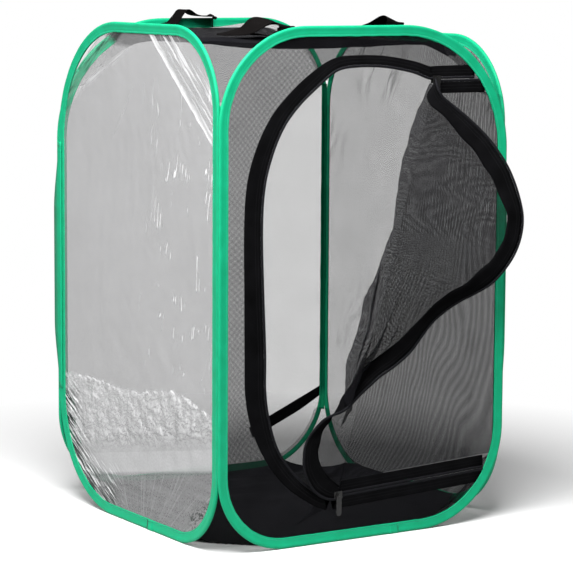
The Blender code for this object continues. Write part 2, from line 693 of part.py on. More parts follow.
def outer_strip(name, side_x, side_y, carrier):
    """A flat strip over the outside of a corner that opens out straight when the cage folds."""
    near_x = SIDE_PLANE + RIM / 2 + CLEARANCE
    far_x = near_x + SHEET_THICKNESS
    rings = []
    for z in (OUTER_STRIP_LOW, OUTER_STRIP_HIGH):
        rings.append([Vector((side_x * near_x, side_y * (HALF_DEPTH - RIM - STRIP_WIDTH), z)),
                      Vector((side_x * far_x, side_y * (HALF_DEPTH - RIM - STRIP_WIDTH), z)),
                      Vector((side_x * far_x, side_y * HALF_DEPTH, z)),
                      Vector((side_x * near_x, side_y * HALF_DEPTH, z))])
    verts, faces = loft(rings, False)
    return solid(name, verts, faces, "green_binding", carrier)


def ribbon(points, widths):
    """Rings of a flat strap along a line, with the way that its width points at each place."""
    rings = []
    for i, point in enumerate(points):
        along = (points[min(i + 1, len(points) - 1)] - points[max(i - 1, 0)]).normalized()
        wide = (widths[i] - along * widths[i].dot(along)).normalized()
        face = along.cross(wide)
        a, b = wide * STRAP_WIDTH / 2, face * STRAP_THICKNESS / 2
        rings.append([point - a - b, point + a - b, point + a + b, point - a + b])
    return rings


def handle_point(wall, across, inward, rise):
    toward = 1 if wall == "front" else -1
    edge = -toward * HALF_DEPTH
    return Vector((across * HALF_WIDTH, edge + toward * (HANDLE_INSET + inward * HANDLE_REACH),
                   CAGE_HEIGHT + CLEARANCE + rise * HANDLE_RISE))


def handle(wall, table, carrier):
    """The webbing loop, which swings where it leaves the hoop's top."""
    toward = 1 if wall == "front" else -1
    points = smooth_line([handle_point(wall, a, b, c) for a, b, c, _ in table], HANDLE_STEPS)
    widths = smooth_line([Vector((w[0], toward * w[1], w[2])) for _, _, _, w in table], HANDLE_STEPS)
    for end, beside in ((0, 1), (-1, -2)):
        rise = (points[beside] - points[end]).length
        points[beside] = points[end] + Vector((0, 0, rise))
    verts, faces = loft(ribbon(points, widths), False)
    return solid(f"{wall}_handle", verts, faces, "webbing", carrier)


def handle_ends(wall, table, carrier):
    """The two ends of the webbing, sewn to the inner face of the binding down to the roof's seam."""
    toward = 1 if wall == "front" else -1
    for across, inward, _, way in (table[0], table[-1]):
        label = "right" if across > 0 else "left"
        top = handle_point(wall, across, inward, 0) - Vector((0, 0, CLEARANCE + STRAP_THICKNESS / 2))
        inner_edge = across * HALF_WIDTH - math.copysign(STRAP_WIDTH / 2, across)
        foot = Vector((top.x, top.y, seam_height(wall, inner_edge, True) + STRAP_THICKNESS))
        wide = Vector((way[0], toward * way[1], 0))
        verts, faces = loft(ribbon([top, foot], [wide, wide]), False)
        solid(f"{wall}_handle_end_{label}", verts, faces, "webbing", carrier)


def storage_strap(carrier):
    """The strap that holds the folded cage together, sewn across the back wall's lower corner."""
    out = RIM / 2 + CLEARANCE + STRAP_THICKNESS / 2
    points = [on_wall("back", a * HALF_WIDTH, u * CAGE_HEIGHT, out) for a, u in STRAP_END_SHARES]
    run = points[1] - points[0]
    width = Vector((-run.z, 0, run.x)).normalized()
    verts, faces = loft(ribbon(points, [width, width]), False)
    return solid("storage_strap", verts, faces, "webbing", carrier)


def build():
    clear_scene()
    inner_x, inner_y = HALF_WIDTH - RIM, HALF_DEPTH - RIM
    left = pivot("left_fold", Vector((-inner_x, -inner_y, 0)))
    right = pivot("right_fold", Vector((HALF_WIDTH, -HALF_DEPTH, 0)))
    back = pivot("back_fold", Vector((inner_x, inner_y, 0)), right)
    carriers = {"front": None, "left": left, "right": right, "back": back}
    for wall, carrier in carriers.items():
        binding(wall, carrier)
        wire(wall, carrier)
    wall_sheet("clear_window", "left", "clear_sheet", left)
    wall_sheet("right_mesh", "right", "black_mesh", right)
    wall_sheet("back_mesh", "back", "black_mesh", back)
    field = front_field()
    surround(field)
    panel(field)
    flap(pivot("door_swing", on_wall("front", *HINGE_LOW, 0)))
    for label, station in (("upper", UPPER_STATION), ("lower", LOWER_STATION)):
        place = on_wall("front", *door_offset(station, -COIL_PITCH / 2), 0)
        run = pivot(f"slider_{label}_run", place)
        stud_foot = slider(label, station, run)
        pull(label, stud_foot, pivot(f"pull_{label}_swing", stud_foot, run))
    cloth("roof_mesh", True, "black_mesh")
    cloth("floor_cloth", False, "black_cloth")
    corner_strip("corner_strip_front_left", -1, -1, None)
    corner_strip("corner_strip_back_right", 1, 1, right)
    outer_strip("corner_strip_front_right", 1, -1, None)
    outer_strip("corner_strip_back_left", -1, 1, left)
    storage_strap(back)
    for wall, table, carrier in (("front", FRONT_HANDLE_SHARES, None), ("back", BACK_HANDLE_SHARES, back)):
        handle_ends(wall, table, carrier)
        seat = handle_point(wall, 0, 0, 0)
        handle(wall, table, pivot(f"{wall}_handle_swing", seat, carrier))


build()
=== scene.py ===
"""The looks of the pop-up insect cage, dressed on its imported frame."""

import math

import bmesh
import bpy
import numpy as np
from mathutils import Matrix, Vector, noise


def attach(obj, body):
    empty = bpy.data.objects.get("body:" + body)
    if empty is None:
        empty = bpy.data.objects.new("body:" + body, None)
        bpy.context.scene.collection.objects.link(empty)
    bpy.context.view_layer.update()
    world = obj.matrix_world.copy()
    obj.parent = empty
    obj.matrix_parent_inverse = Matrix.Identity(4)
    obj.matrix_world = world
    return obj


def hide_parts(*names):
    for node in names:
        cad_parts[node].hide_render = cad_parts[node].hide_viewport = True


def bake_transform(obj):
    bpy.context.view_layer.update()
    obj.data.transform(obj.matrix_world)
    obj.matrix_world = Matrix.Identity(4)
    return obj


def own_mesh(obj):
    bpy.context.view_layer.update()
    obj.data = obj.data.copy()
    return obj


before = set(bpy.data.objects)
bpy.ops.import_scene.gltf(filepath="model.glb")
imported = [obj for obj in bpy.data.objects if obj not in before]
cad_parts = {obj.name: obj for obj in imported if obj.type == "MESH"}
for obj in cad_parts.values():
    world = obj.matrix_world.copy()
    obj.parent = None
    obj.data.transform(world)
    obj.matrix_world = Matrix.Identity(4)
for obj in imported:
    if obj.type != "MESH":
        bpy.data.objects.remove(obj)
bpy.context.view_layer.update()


# The hoops: one to a wall, each a closed ring of drawn spring steel, 2 mm thick and dull grey, that holds its
# wall flat and springs open when the cage is let go. It runs loose inside its binding, so only its look is
# set here.

HALF = 0.200
HEIGHT = 0.600
PLANE = 0.198
SIDE_RUN = 0.3914
RIGHT_HEIGHT = 0.586
HOOPS = {
    "front": (2 * HALF, HEIGHT, (0.090, 0.118, 0.150, 0.115)),
    "left": (SIDE_RUN, HEIGHT, (0.090, 0.135, 0.150, 0.098)),
    "right": (SIDE_RUN, RIGHT_HEIGHT, (0.105, 0.105, 0.105, 0.105)),
    "back": (2 * HALF, HEIGHT, (0.105, 0.105, 0.105, 0.150)),
}


class Signal:
    """A shader node's output that is reckoned with like a number."""

    def __init__(self, tree, socket):
        self.tree = tree
        self.socket = socket

    def node(self, kind, inputs, output=0, **settings):
        """A new node fed by these inputs, as the signal of one of its outputs."""
        made = self.tree.nodes.new(kind)
        for key, value in settings.items():
            setattr(made, key, value)
        for place, value in inputs.items():
            if isinstance(value, Signal):
                self.tree.links.new(value.socket, made.inputs[place])
            else:
                made.inputs[place].default_value = value
        return Signal(self.tree, made.outputs[output])

    def math(self, operation, *others):
        return self.node("ShaderNodeMath", dict(enumerate((self, *others))), operation=operation)

    def __add__(self, other):
        return self.math("ADD", other)

    def __sub__(self, other):
        return self.math("SUBTRACT", other)

    def __rsub__(self, other):
        return (self * -1) + other

    def __mul__(self, other):
        return self.math("MULTIPLY", other)

    def __truediv__(self, other):
        return self.math("DIVIDE", other)

    def __pow__(self, other):
        return self.math("POWER", other)

    def __lt__(self, other):
        return self.math("LESS_THAN", other)

    __radd__ = __add__
    __rmul__ = __mul__


def from_whole(signal):
    """How far a signal is from the nearest whole number, from 0 to a half."""
    return signal.math("PINGPONG", 0.5)


def clamped(signal):
    return signal.math("MAXIMUM", 0.0).math("MINIMUM", 1.0)


def thread(signal, width):
    """1 on a thread where the signal is whole, of that share of the pitch, and 0 beside it."""
    return clamped((width / 2 - from_whole(signal)) * (4 / width) + 0.5)


def noised(place, scale, detail=2.0):
    """Soft noise at that many turns a metre, about a half."""
    return place.node("ShaderNodeTexNoise", {"Vector": place, "Scale": scale, "Detail": detail})


def mixed(share, low, high):
    """A colour between two, by a share."""
    return share.node("ShaderNodeMix", {0: share, 6: (*low, 1), 7: (*high, 1)}, 2, data_type="RGBA")


def finish(name, build, on_cloth=True, **sockets):
    """A material: constant numbers on its shader, and signals that build makes from the piece's places."""
    made = bpy.data.materials.new(name)
    made.use_nodes = True
    tree = made.node_tree
    shader = tree.nodes["Principled BSDF"]
    for socket, value in sockets.items():
        shader.inputs[socket.replace("_", " ")].default_value = value
    if on_cloth:
        source = tree.nodes.new("ShaderNodeUVMap")
        source.uv_map = "Cloth"
        place = Signal(tree, source.outputs[0])
    else:
        place = Signal(tree, tree.nodes.new("ShaderNodeTexCoord").outputs["Object"])
    split = tree.nodes.new("ShaderNodeSeparateXYZ")
    tree.links.new(place.socket, split.inputs[0])
    u, v = Signal(tree, split.outputs[0]), Signal(tree, split.outputs[1])
    for socket, signal in build(place, u, v).items():
        if socket == "Height":
            height, distance = signal
            signal = height.node("ShaderNodeBump", {"Height": height, "Distance": distance, "Strength": 1.0})
            socket = "Normal"
        tree.links.new(signal.socket, shader.inputs[socket])
    return made


def coated(share, under, colour):
    """A colour laid over another signal's colour by a share."""
    return share.node("ShaderNodeMix", {0: share, 6: under, 7: (*colour, 1)}, 2, data_type="RGBA")


def steel_look(place, u, v):
    drawn = noised(place, 900.0)
    return {
        "Base Color": mixed(drawn, (0.36, 0.36, 0.38), (0.52, 0.52, 0.54)),
        "Roughness": drawn * 0.2 + 0.25,
        "Height": (drawn, 0.00005),
    }


STEEL = finish("drawn_spring_steel", steel_look, on_cloth=False, Metallic=1.0)

for wall in HOOPS:
    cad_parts[f"{wall}_wire"].data.materials.clear()
    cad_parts[f"{wall}_wire"].data.materials.append(STEEL)


# The binding: a tape of green woven cloth folded round each wire and stitched along its inner edge, where it
# also takes hold of the wall's net or film. Its two ends lap once at the foot of the hoop, which shows as a
# small step. Where the left wall's lap ends, a dark line across the binding is a painted shadow.

REACH = 0.0125
BINDING_HALF = 0.0020
BINDING_THREAD = 0.0007
STITCH_PITCH = 0.0032
STITCH_INWARD = 0.0104
STITCH_THICK = 0.0009
LAP_SHADOW_FROM, LAP_SHADOW_TO = -0.0335, -0.0305


def binding_look(place, u, v, shade=1.0):
    weave = from_whole(u / BINDING_THREAD) + from_whole(v / BINDING_THREAD)
    row = thread((v - STITCH_INWARD) / 0.02, STITCH_THICK / 0.02)
    stitch = row * clamped((0.36 - from_whole(u / STITCH_PITCH)) * 12)
    blotch = noised(place, 60.0)
    ground = mixed(clamped(blotch * 1.4 - 0.2), (0.002 * shade, 0.36 * shade, 0.165 * shade),
                   (0.004 * shade, 0.46 * shade, 0.225 * shade))
    colour = coated(stitch * 0.6, ground, (0.06, 0.68, 0.40))
    # A painted shadow: a dark line across the binding where the left wall's lap ends.
    lap_shadow = clamped((u - LAP_SHADOW_FROM) * 4000) * clamped((LAP_SHADOW_TO - u) * 4000)
    colour = coated(lap_shadow, colour, (0.001, 0.006, 0.003))
    height = weave * 0.5 + stitch * 2.0 + noised(place, 350.0) * 1.2
    return {"Base Color": colour, "Roughness": blotch * 0.2 + 0.42, "Height": (height, 0.00012)}


GREEN = finish("green_binding_cloth", binding_look, Specular_IOR_Level=0.22,
               Sheen_Weight=0.03, Sheen_Roughness=0.4)


def surface(name, grid, uv, look, slot, body=None, replaces=(), weld=False):
    """A cloth surface through a grid of points, with its flat places as its texture map."""
    grid = np.asarray(grid, float)
    rows, columns = grid.shape[:2]
    index = np.arange(rows * columns).reshape(rows, columns)
    quads = np.stack([index[:-1, :-1], index[1:, :-1], index[1:, 1:], index[:-1, 1:]], -1).reshape(-1, 4)
    mesh = bpy.data.meshes.new(name)
    mesh.from_pydata(grid.reshape(-1, 3).tolist(), [], quads.tolist())
    layer = mesh.uv_layers.new(name="Cloth")
    layer.data.foreach_set("uv", np.asarray(uv, float).reshape(-1, 2)[quads.reshape(-1)].ravel())
    mesh.shade_smooth()
    mesh.materials.append(look)
    obj = bpy.data.objects.new(name, mesh)
    bpy.context.scene.collection.objects.link(obj)
    if weld:
        bm = bmesh.new()
        bm.from_mesh(mesh)
        bmesh.ops.remove_doubles(bm, verts=bm.verts, dist=1e-6)
        bmesh.ops.recalc_face_normals(bm, faces=bm.faces)
        bm.to_mesh(mesh)
        bm.free()
    if replaces:
        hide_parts(*replaces)
    if body:
        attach(obj, body)
    return obj


def place(wall, flat, out):
    """World points from places on a wall: along its run and up, and how far out from its cloth."""
    flat = np.asarray(flat, float)
    out = np.broadcast_to(out, flat.shape[:-1])
    if wall in ("front", "back"):
        sign = -1 if wall == "front" else 1
        return np.stack([flat[..., 0], sign * (PLANE + out), flat[..., 1]], -1)
    sign = -1 if wall == "left" else 1
    return np.stack([sign * (PLANE + out), flat[..., 0], flat[..., 1]], -1)


def hoop_line(wall, step):
    """Points round a hoop's outer edge, the way outward at each, and the length up to it."""
    run, height, (low_bottom, high_bottom, high_top, low_top) = HOOPS[wall]
    half = run / 2
    corners = (
        (-half + low_bottom, low_bottom, low_bottom, 180),
        (half - high_bottom, high_bottom, high_bottom, 270),
        (half - high_top, height - high_top, high_top, 0),
        (-half + low_top, height - low_top, low_top, 90),
    )
    points, ways = [], []
    for n, (across, up, radius, first) in enumerate(corners):
        turns = math.ceil(radius * math.pi / 2 / step)
        for k in range(turns + 1):
            angle = math.radians(first + 90 * k / turns)
            ways.append((math.cos(angle), math.sin(angle)))
            points.append((across + radius * ways[-1][0], up + radius * ways[-1][1]))
        next_across, next_up, next_radius, next_first = corners[(n + 1) % 4]
        angle = math.radians(next_first)
        ahead = (next_across + next_radius * math.cos(angle), next_up + next_radius * math.sin(angle))
        start = points[-1]
        straight = math.ceil(math.dist(start, ahead) / step)
        for k in range(1, straight):
            ways.append(ways[-1])
            points.append(tuple(a + (b - a) * k / straight for a, b in zip(start, ahead)))
    points.append(points[0])
    ways.append(ways[0])
    points, ways = np.array(points), np.array(ways)
    length = np.concatenate([[0], np.cumsum(np.linalg.norm(np.diff(points, axis=0), axis=1))])
    return points, ways, length


def ripple(points, scale, seed=0.0):
    """Smooth noise at each point, from -1 to 1."""
    flat = np.asarray(points, float).reshape(-1, 3) * scale + seed
    return np.array([noise.noise(p) for p in flat]).reshape(np.asarray(points).shape[:-1])


def with_ends(rings, maps, ends=None):
    """Rings and their maps with one more ring at each end, drawn to a point, which closes the tube."""
    rings, maps = np.asarray(rings, float), np.asarray(maps, float)
    first, last = ends if ends is not None else (rings[0].mean(0), rings[-1].mean(0))
    count = rings.shape[1]
    rings = np.concatenate([np.tile(first, (1, count, 1)), rings, np.tile(last, (1, count, 1))])
    return rings, np.concatenate([maps[:1], maps, maps[-1:]])


SECTION = (
    (REACH, 0.0003), (REACH, 0.0009), (0.0121, 0.00115), (0.0110, 0.00120), (STITCH_INWARD, 0.00085),
    (0.0098, 0.00115), (0.0080, 0.00125), (0.0060, 0.00140), (0.0045, 0.00175), (0.0032, 0.00200),
    (0.0020, 0.00205), (0.0009, 0.00175), (0.0002, 0.00105), (0.0, 0.0),
)
SECTION = np.array(SECTION + tuple((a, -b) for a, b in SECTION[-2::-1]) + SECTION[:1])
WIRE_ROOM = 0.0045
LAP_LENGTH = 0.013
LAP_START = {"front": 0.235, "left": 0.1507, "right": 0.180, "back": 0.180}


def reach_share(wall, points):
    """How much of its width the binding takes on a hoop: it is turned in narrow at the far corner."""
    least = {"back": 0.50, "right": 0.62}.get(wall, 1.0)
    near = np.clip((points[..., 0] - 0.015) / 0.075, 0, 1)
    return 1 - (1 - least) * near * near * (3 - 2 * near)


def binding_rings(wall, points, ways, along, swell):
    """Rings of the tape's section along a hoop, a little uneven as sewn cloth is."""
    inward, out = SECTION[:, 0], SECTION[:, 1]
    narrow = reach_share(wall, points)
    base = place(wall, points, 0.0)
    pucker = 1 + 0.10 * ripple(base, 55.0, 3.0) + swell
    edge = 0.0004 * ripple(base, 90.0, 7.0)
    rings, maps = [], []
    for point, way, reach, wide, shift, share in zip(points, ways, along, pucker, edge, narrow):
        depth = np.where(inward > 0.009, inward + shift, inward)
        narrowed = WIRE_ROOM + (depth - WIRE_ROOM) * (share * REACH - WIRE_ROOM) / (REACH - WIRE_ROOM)
        depth = np.where(inward > WIRE_ROOM, narrowed, depth)
        flat = point[None] - way[None] * (depth - max(swell, 0) * 0.002)[:, None]
        rings.append(place(wall, flat, out * wide))
        maps.append(np.stack([np.full(len(inward), reach), inward], -1))
    return rings, maps


for wall in HOOPS:
    points, ways, along = hoop_line(wall, 0.005)
    rings, maps = binding_rings(wall, points, ways, along, 0.0)
    surface(f"{wall}_binding_tape", rings, maps, GREEN, "green_binding", wall, [f"{wall}_binding"], weld=True)
    start = np.array([LAP_START[wall] - HOOPS[wall][0] / 2, 0.0])
    lap = np.array([start + [LAP_LENGTH * k / 4, 0.0] for k in range(5)])
    rings, maps = binding_rings(wall, lap, np.tile([0.0, -1.0], (5, 1)), lap[:, 0] + 0.0005, 0.28)
    surface(f"{wall}_binding_lap", *with_ends(rings, maps), GREEN, "green_binding", wall, weld=True)


# The net walls, right and back: black knitted net of about 1.25 mm mesh, cut to the hoop, sewn into its
# binding and stretched by it. The right one is a thicker knit, pulled into soft creases from its top.

CLOTH_EDGE = 0.0117
NET_PITCH = 0.00125


def stretched(place, first, second, detail=2.0):
    """Soft noise over two signals of its own."""
    spot = place.node("ShaderNodeCombineXYZ", {0: first, 1: second})
    return noised(spot, 1.0, detail)


def net_look(share):
    """The look of net whose threads take up that share of their pitch."""
    def look(place, u, v):
        threads = thread((u + v) / NET_PITCH, share).math("MAXIMUM", thread((u - v) / NET_PITCH, share))
        uneven = noised(place, 25.0)
        colour = mixed(uneven, (0.004, 0.004, 0.005), (0.014, 0.014, 0.016))
        cover = clamped(threads * (uneven * 0.2 + 0.52) + share * 0.62)
        return {"Base Color": colour, "Alpha": cover, "Roughness": uneven * 0.2 + 0.6}
    return look


def creased(share, lean, top):
    """Net with soft creases drawn down and across it, thicker towards the top where it is pulled."""
    def look(place, u, v):
        made = net_look(share)(place, u, v)
        bend = noised(place, 9.0)
        line = stretched(place, (u + v * lean) * 42 + bend * 3, (v - u * lean) * 5, 2.0)
        fold = clamped(1.2 - (line - 0.5).math("ABSOLUTE") * 34) * clamped((noised(place, 5.0) - 0.44) * 9)
        made["Alpha"] = clamped(made["Alpha"] + fold * (clamped((v - top) * 6) * 0.16 + 0.07))
        return made
    return look


def wall_sheet(name, wall, look, slot, replaces, billow, rings=36):
    """A sheet that fills a hoop, fine rings from its edge to its middle, pushed in and out by billow."""
    points, ways, _ = hoop_line(wall, 0.010)
    edge = points - ways * (CLOTH_EDGE - REACH * (1 - reach_share(wall, points)))[:, None]
    middle = np.array([0.0, HOOPS[wall][1] / 2])
    shares = 1 - np.linspace(0, 1, rings) ** 1.15
    flat = middle + (edge[None] - middle) * shares[:, None, None]
    out = billow(flat, 1 - shares[:, None] ** 2)
    return surface(name, place(wall, flat, out), flat, look, slot, wall, replaces, weld=True)


def soft_billow(depth, scale, seed):
    def billow(flat, free):
        spots = np.concatenate([flat, np.zeros((*flat.shape[:2], 1))], -1)
        broad = ripple(spots, scale, seed)
        fine = ripple(spots * [1.0, 0.35, 1.0], scale * 4, seed + 5)
        return free ** 0.5 * (depth * broad + depth * 0.28 * fine)
    return billow


SIDE_NET = finish("black_net_of_the_side", creased(0.365, 0.45, 0.40), Specular_IOR_Level=0.0)
NET = finish("black_net", net_look(0.245), Specular_IOR_Level=0.0)

right_net = wall_sheet("right_wall_net", "right", SIDE_NET, "black_mesh", ["right_mesh"],
                       soft_billow(0.005, 7.0, 1.0))
back_net = wall_sheet("back_wall_net", "back", NET, "black_mesh", ["back_mesh"], soft_billow(0.004, 6.0, 11.0))


# The left wall: one sheet of clear film, sewn into its hoop like the nets. Its colour carries painted
# highlights: a fan of creases at the top, short streaks right of the middle, a pale crinkled band low down,
# streaks where the floor lies behind it and strokes at its far bottom corner. It also carries painted shade:
# dark strokes and curls at its bottom corners and a dark green band over the far binding at its top.


def between(signal, low, high, soft):
    """1 where a signal lies between two values, falling to 0 over a soft margin."""
    return clamped((signal - low) / soft + 0.5) * clamped((high - signal) / soft + 0.5)


FAN_WIDE = 0.0085
BAND_TOP = 0.159
BAND_RISE = 0.013
BAND_FOOT = 0.0625
CRINKLED_FROM = 0.088
TOP_HIGHLIGHT_WIDE = 0.003
FLOOR_SHOWS_BELOW = 0.064


def film_look(place, u, v):
    broad = noised(place, 7.0)
    fine = noised(place, 60.0, 4.0)
    grain = noised(place, 430.0, 1.0)
    # The fan of creases, as painted highlights below a line that leans down to the right from the top
    past = v * 0.769 - u * 0.639 - 0.473 + (fine - 0.5) * 0.004
    along = u * 0.769 + v * 0.639
    folds = stretched(place, past * 210, along * 9)
    band = clamped(1.15 - past / FAN_WIDE) * clamped(folds * 1.6 + 0.3)
    rays = clamped((folds - 0.50) * 9)
    fan = clamped(past * 500) * band.math("MAXIMUM", rays * 0.6) * clamped((v - 0.44) * 30)
    # Short painted highlights right of the middle
    thin = stretched(place, u * 60 + v * 9, v * 7, 1.0)
    pick = stretched(place, u * 30, v * 26)
    dashes = clamped(1.4 - (thin - 0.5).math("ABSOLUTE") * 80) * clamped((pick - 0.55) * 18)
    dashes = dashes * between(u, -0.19, -0.03, 0.04) * between(v, 0.17, 0.52, 0.05)
    # Soft creases from the middle of the top to the far corner: painted highlights on them, painted shade
    # between
    slope = (HEIGHT - v) / (u + 0.060).math("MAXIMUM", 0.02)
    creases = stretched(place, slope * 8, (u + v) * 7, 3.0)
    high = clamped((v - 0.42) * 10) * clamped((u + 0.01) * 20)
    # The crinkled band low down, made pale by a painted sheen, with painted highlights on its crinkles, winding
    # lines of painted shade and a painted highlight along its top
    level = v + u * 0.185
    winding = stretched(place, u * 34 + fine * 2, v * 150 + u * 30 + fine * 4, 3.0)
    lines = clamped(1.25 - (winding - 0.49).math("ABSOLUTE") * 32)
    top = BAND_TOP + between(u, -0.14, -0.04, 0.06) * BAND_RISE + (fine - 0.5) * 0.016
    bright = clamped((top - v) / 0.006 + 0.5) * clamped((level - BAND_FOOT) / 0.004 + 0.5)
    patch = bright * clamped((level - CRINKLED_FROM) * 45)
    light = bright * 0.41 + patch * clamped((winding - 0.58) * 12) * 0.16
    painted_border = clamped(1 - (v - top).math("ABSOLUTE") / TOP_HIGHLIGHT_WIDE) * clamped((fine - 0.46) * 9) * 0.6
    # Painted highlights in streaks where the floor lies behind the film
    drawn = stretched(place, u * 9, v * 130)
    spread = stretched(place, (u + 0.01) / (v + 0.05) * 19, v * 8)
    floor = clamped((FLOOR_SHOWS_BELOW - level) * 150)
    streaks = floor * (drawn * 0.18 + clamped((spread - 0.55) * 8) * 0.14)
    # Painted strokes at the far bottom corner, white ones as highlights and black ones as shade, and dark curls
    # of painted shade at the near one
    corner = u * 0.482 - v * 0.876
    strokes = stretched(place, corner * 330 + (fine - 0.5) * 1.5, (u * 0.876 + v * 0.482) * 22, 3.0)
    reach = ((u - 0.0607) * (u - 0.0607) + (v - 0.135) * (v - 0.135)) ** 0.5
    foot = clamped((reach - 0.068) * 24) * clamped((0.165 - v) * 26) * clamped((u - 0.02) * 26)
    curls = noised(place, 120.0, 3.0)
    tuck = clamped((0.050 - v - (u + 0.13) * 0.5) * 60) * clamped((-0.120 - u) * 60)
    # The far top corner, where the film is clear over the binding behind it, with a streaked dark green band of
    # painted shade laid over that binding
    rim = v * 0.830 + u * 0.558 - 0.510
    painted_shade_streaks = stretched(place, rim * 300, (u * 0.830 - v * 0.558) * 26, 3.0)
    dark = foot * clamped((0.485 - strokes) * 30) + tuck * clamped(1.5 - (curls - 0.5).math("ABSOLUTE") * 26)
    dark = clamped(dark + between(rim, 0.003, 0.022, 0.005) * (clamped((painted_shade_streaks - 0.50) * 12) * 0.5 + 0.4))
    # white gathers the painted highlights, less some painted shade, and dark the painted shade; they are laid
    # over the film's grey as near white and as a near black green
    white = fan + dashes + light + painted_border + streaks + high * clamped((creases - 0.60) * 10) * 0.4
    white = white + foot * clamped((strokes - 0.56) * 16) * 0.8
    white = white - lines * patch * 0.30 - high * clamped((0.42 - creases) * 12) * 0.2
    base = mixed(clamped((grain - 0.5) * 3 + 0.5), (0.30, 0.30, 0.305), (0.42, 0.42, 0.425))
    white = clamped(white)
    colour = coated(dark, coated(white, base, (0.90, 0.90, 0.91)), (0.006, 0.014, 0.010))
    height = stretched(place, u * 30, v * 6) * 0.4 + fine * (patch * 1.2 + 0.2)
    cover = clamped(white * 0.62 + broad * 0.08 + 0.42) * (1 - clamped((rim + 0.009) * 200) * 0.7)
    cover = clamped(cover + dark * 0.6)
    return {"Base Color": colour, "Alpha": cover, "Roughness": broad * 0.1 + 0.12, "Height": (height, 0.006)}


FILM = finish("clear_film", film_look, Specular_IOR_Level=0.5)


def film_billow(flat, free):
    """The film's fan of creases from the top and crinkles low down."""
    across, up = flat[..., 0], flat[..., 1]
    spots = np.concatenate([flat, np.zeros((*flat.shape[:2], 1))], -1)
    broad = 0.004 * ripple(spots, 6.0, 2.0)
    turn = np.arctan2(across + 0.02, 0.72 - up)
    fan = 0.0006 * np.sin(turn * 95 + 3 * ripple(spots, 9.0, 4.0)) * np.clip((up - 0.30) * 4, 0, 1)
    low = 0.0020 * ripple(spots, 42.0, 9.0) * np.clip((0.30 - up) * 6, 0, 1)
    return free ** 0.5 * (broad + fan + low)


film = wall_sheet("clear_wall_film", "left", FILM, "clear_sheet", ["clear_window"], film_billow, rings=60)


# The zip's fixed half: a woven black tape with a nylon coil on its inner edge, sewn round the door's opening
# to net that fills the rest of the front hoop. Its line runs from the right edge over the top, down the left
# and back.


RIB_PITCH = 0.0011
SEAM_PITCH = 0.0026
FIRST_SEAM, SEAM_GAP, LAST_SEAM = 0.004, 0.0035, 0.0085
COIL_PITCH = 0.0036
COIL_RADIUS = 0.00118
COIL_SPREAD = 1.56
COIL_RIB = 0.0016
COIL_SIDES = 8
COIL_STEP = 0.0007


def tape_look(place, u, v):
    ribs = from_whole(u / RIB_PITCH + from_whole(v / (2 * RIB_PITCH)) * 2)
    rows = thread((v - FIRST_SEAM) / SEAM_GAP, 0.16) * clamped((0.38 - from_whole(u / SEAM_PITCH)) * 12)
    rows = rows * (v < LAST_SEAM)
    worn = noised(place, 40.0)
    ground = mixed(worn, (0.002, 0.002, 0.002), (0.008, 0.008, 0.009))
    colour = coated(rows * 0.5, ground, (0.022, 0.022, 0.024))
    return {"Base Color": colour, "Roughness": worn * 0.2 + 0.6, "Height": (ribs + rows * 1.5, 0.00015)}


TAPE = finish("zip_tape_weave", tape_look, Specular_IOR_Level=0.0)


def coil_look(place, u, v):
    shine = noised(place, 200.0)
    return {
        "Base Color": mixed(shine, (0.006, 0.006, 0.007), (0.016, 0.016, 0.019)),
        "Roughness": shine * 0.2 + 0.45,
        "Height": (from_whole(u / COIL_RIB), 0.0002),
    }


COIL = finish("zip_coil_nylon", coil_look, Specular_IOR_Level=0.05)


def smooth_line(points, steps):
    """Points on a Catmull-Rom curve through the given rows."""
    points = np.asarray(points, float)
    last = len(points) - 1
    line = []
    for i in range(last):
        before, start, end, after = points[max(i - 1, 0)], points[i], points[i + 1], points[min(i + 2, last)]
        for t in np.arange(steps) / steps:
            bend = (2 * before - 5 * start + 4 * end - after) * t ** 2
            turn = (3 * start - before - 3 * end + after) * t ** 3
            line.append(0.5 * (2 * start + (end - before) * t + bend + turn))
    line.append(points[last])
    return np.array(line)


def lengths(line):
    """The length along a line up to each of its points."""
    return np.concatenate([[0], np.cumsum(np.linalg.norm(np.diff(line, axis=0), axis=-1))])


def evenly(line, count):
    """That many points at even steps along a line."""
    line = np.asarray(line, float)
    along = lengths(line)
    wanted = np.linspace(0, along[-1], count)
    return np.stack([np.interp(wanted, along, line[:, k]) for k in range(line.shape[1])], -1)


DOOR_STEPS = 8
WIDEST_TAPE = 0.024
TAPE_THICK = 0.001
DOOR_LINE = smooth_line([
    (0.99, 0.8967, 0.54), (0.72, 0.8967, 0.54), (0.475, 0.8967, 0.52), (0.42, 0.8970, 0.50),
    (0.30, 0.910, 0.46), (0.10, 0.921, 0.45), (-0.10, 0.922, 0.47), (-0.225, 0.914, 0.55),
    (-0.345, 0.886, 0.68), (-0.475, 0.850, 0.72), (-0.575, 0.810, 0.80), (-0.650, 0.758, 0.88),
    (-0.700, 0.697, 0.92), (-0.715, 0.617, 0.92), (-0.705, 0.500, 0.98), (-0.690, 0.383, 1.08),
    (-0.688, 0.308, 1.05), (-0.660, 0.250, 0.96), (-0.600, 0.192, 0.75), (-0.490, 0.142, 0.66),
    (-0.350, 0.104, 0.56), (-0.245, 0.0872, 0.54), (-0.190, 0.0883, 0.52), (0.30, 0.0965, 0.54),
    (0.99, 0.108, 0.54),
], DOOR_STEPS) * [HALF, HEIGHT, WIDEST_TAPE]
DOOR = DOOR_LINE[:, :2]
DOOR_ALONG = np.gradient(DOOR, axis=0)
DOOR_ALONG /= np.linalg.norm(DOOR_ALONG, axis=1)[:, None]
DOOR_AWAY = np.stack([DOOR_ALONG[:, 1], -DOOR_ALONG[:, 0]], -1)
UPPER, LOWER = 2 * DOOR_STEPS, 22 * DOOR_STEPS
TAPE_START = 0.0015


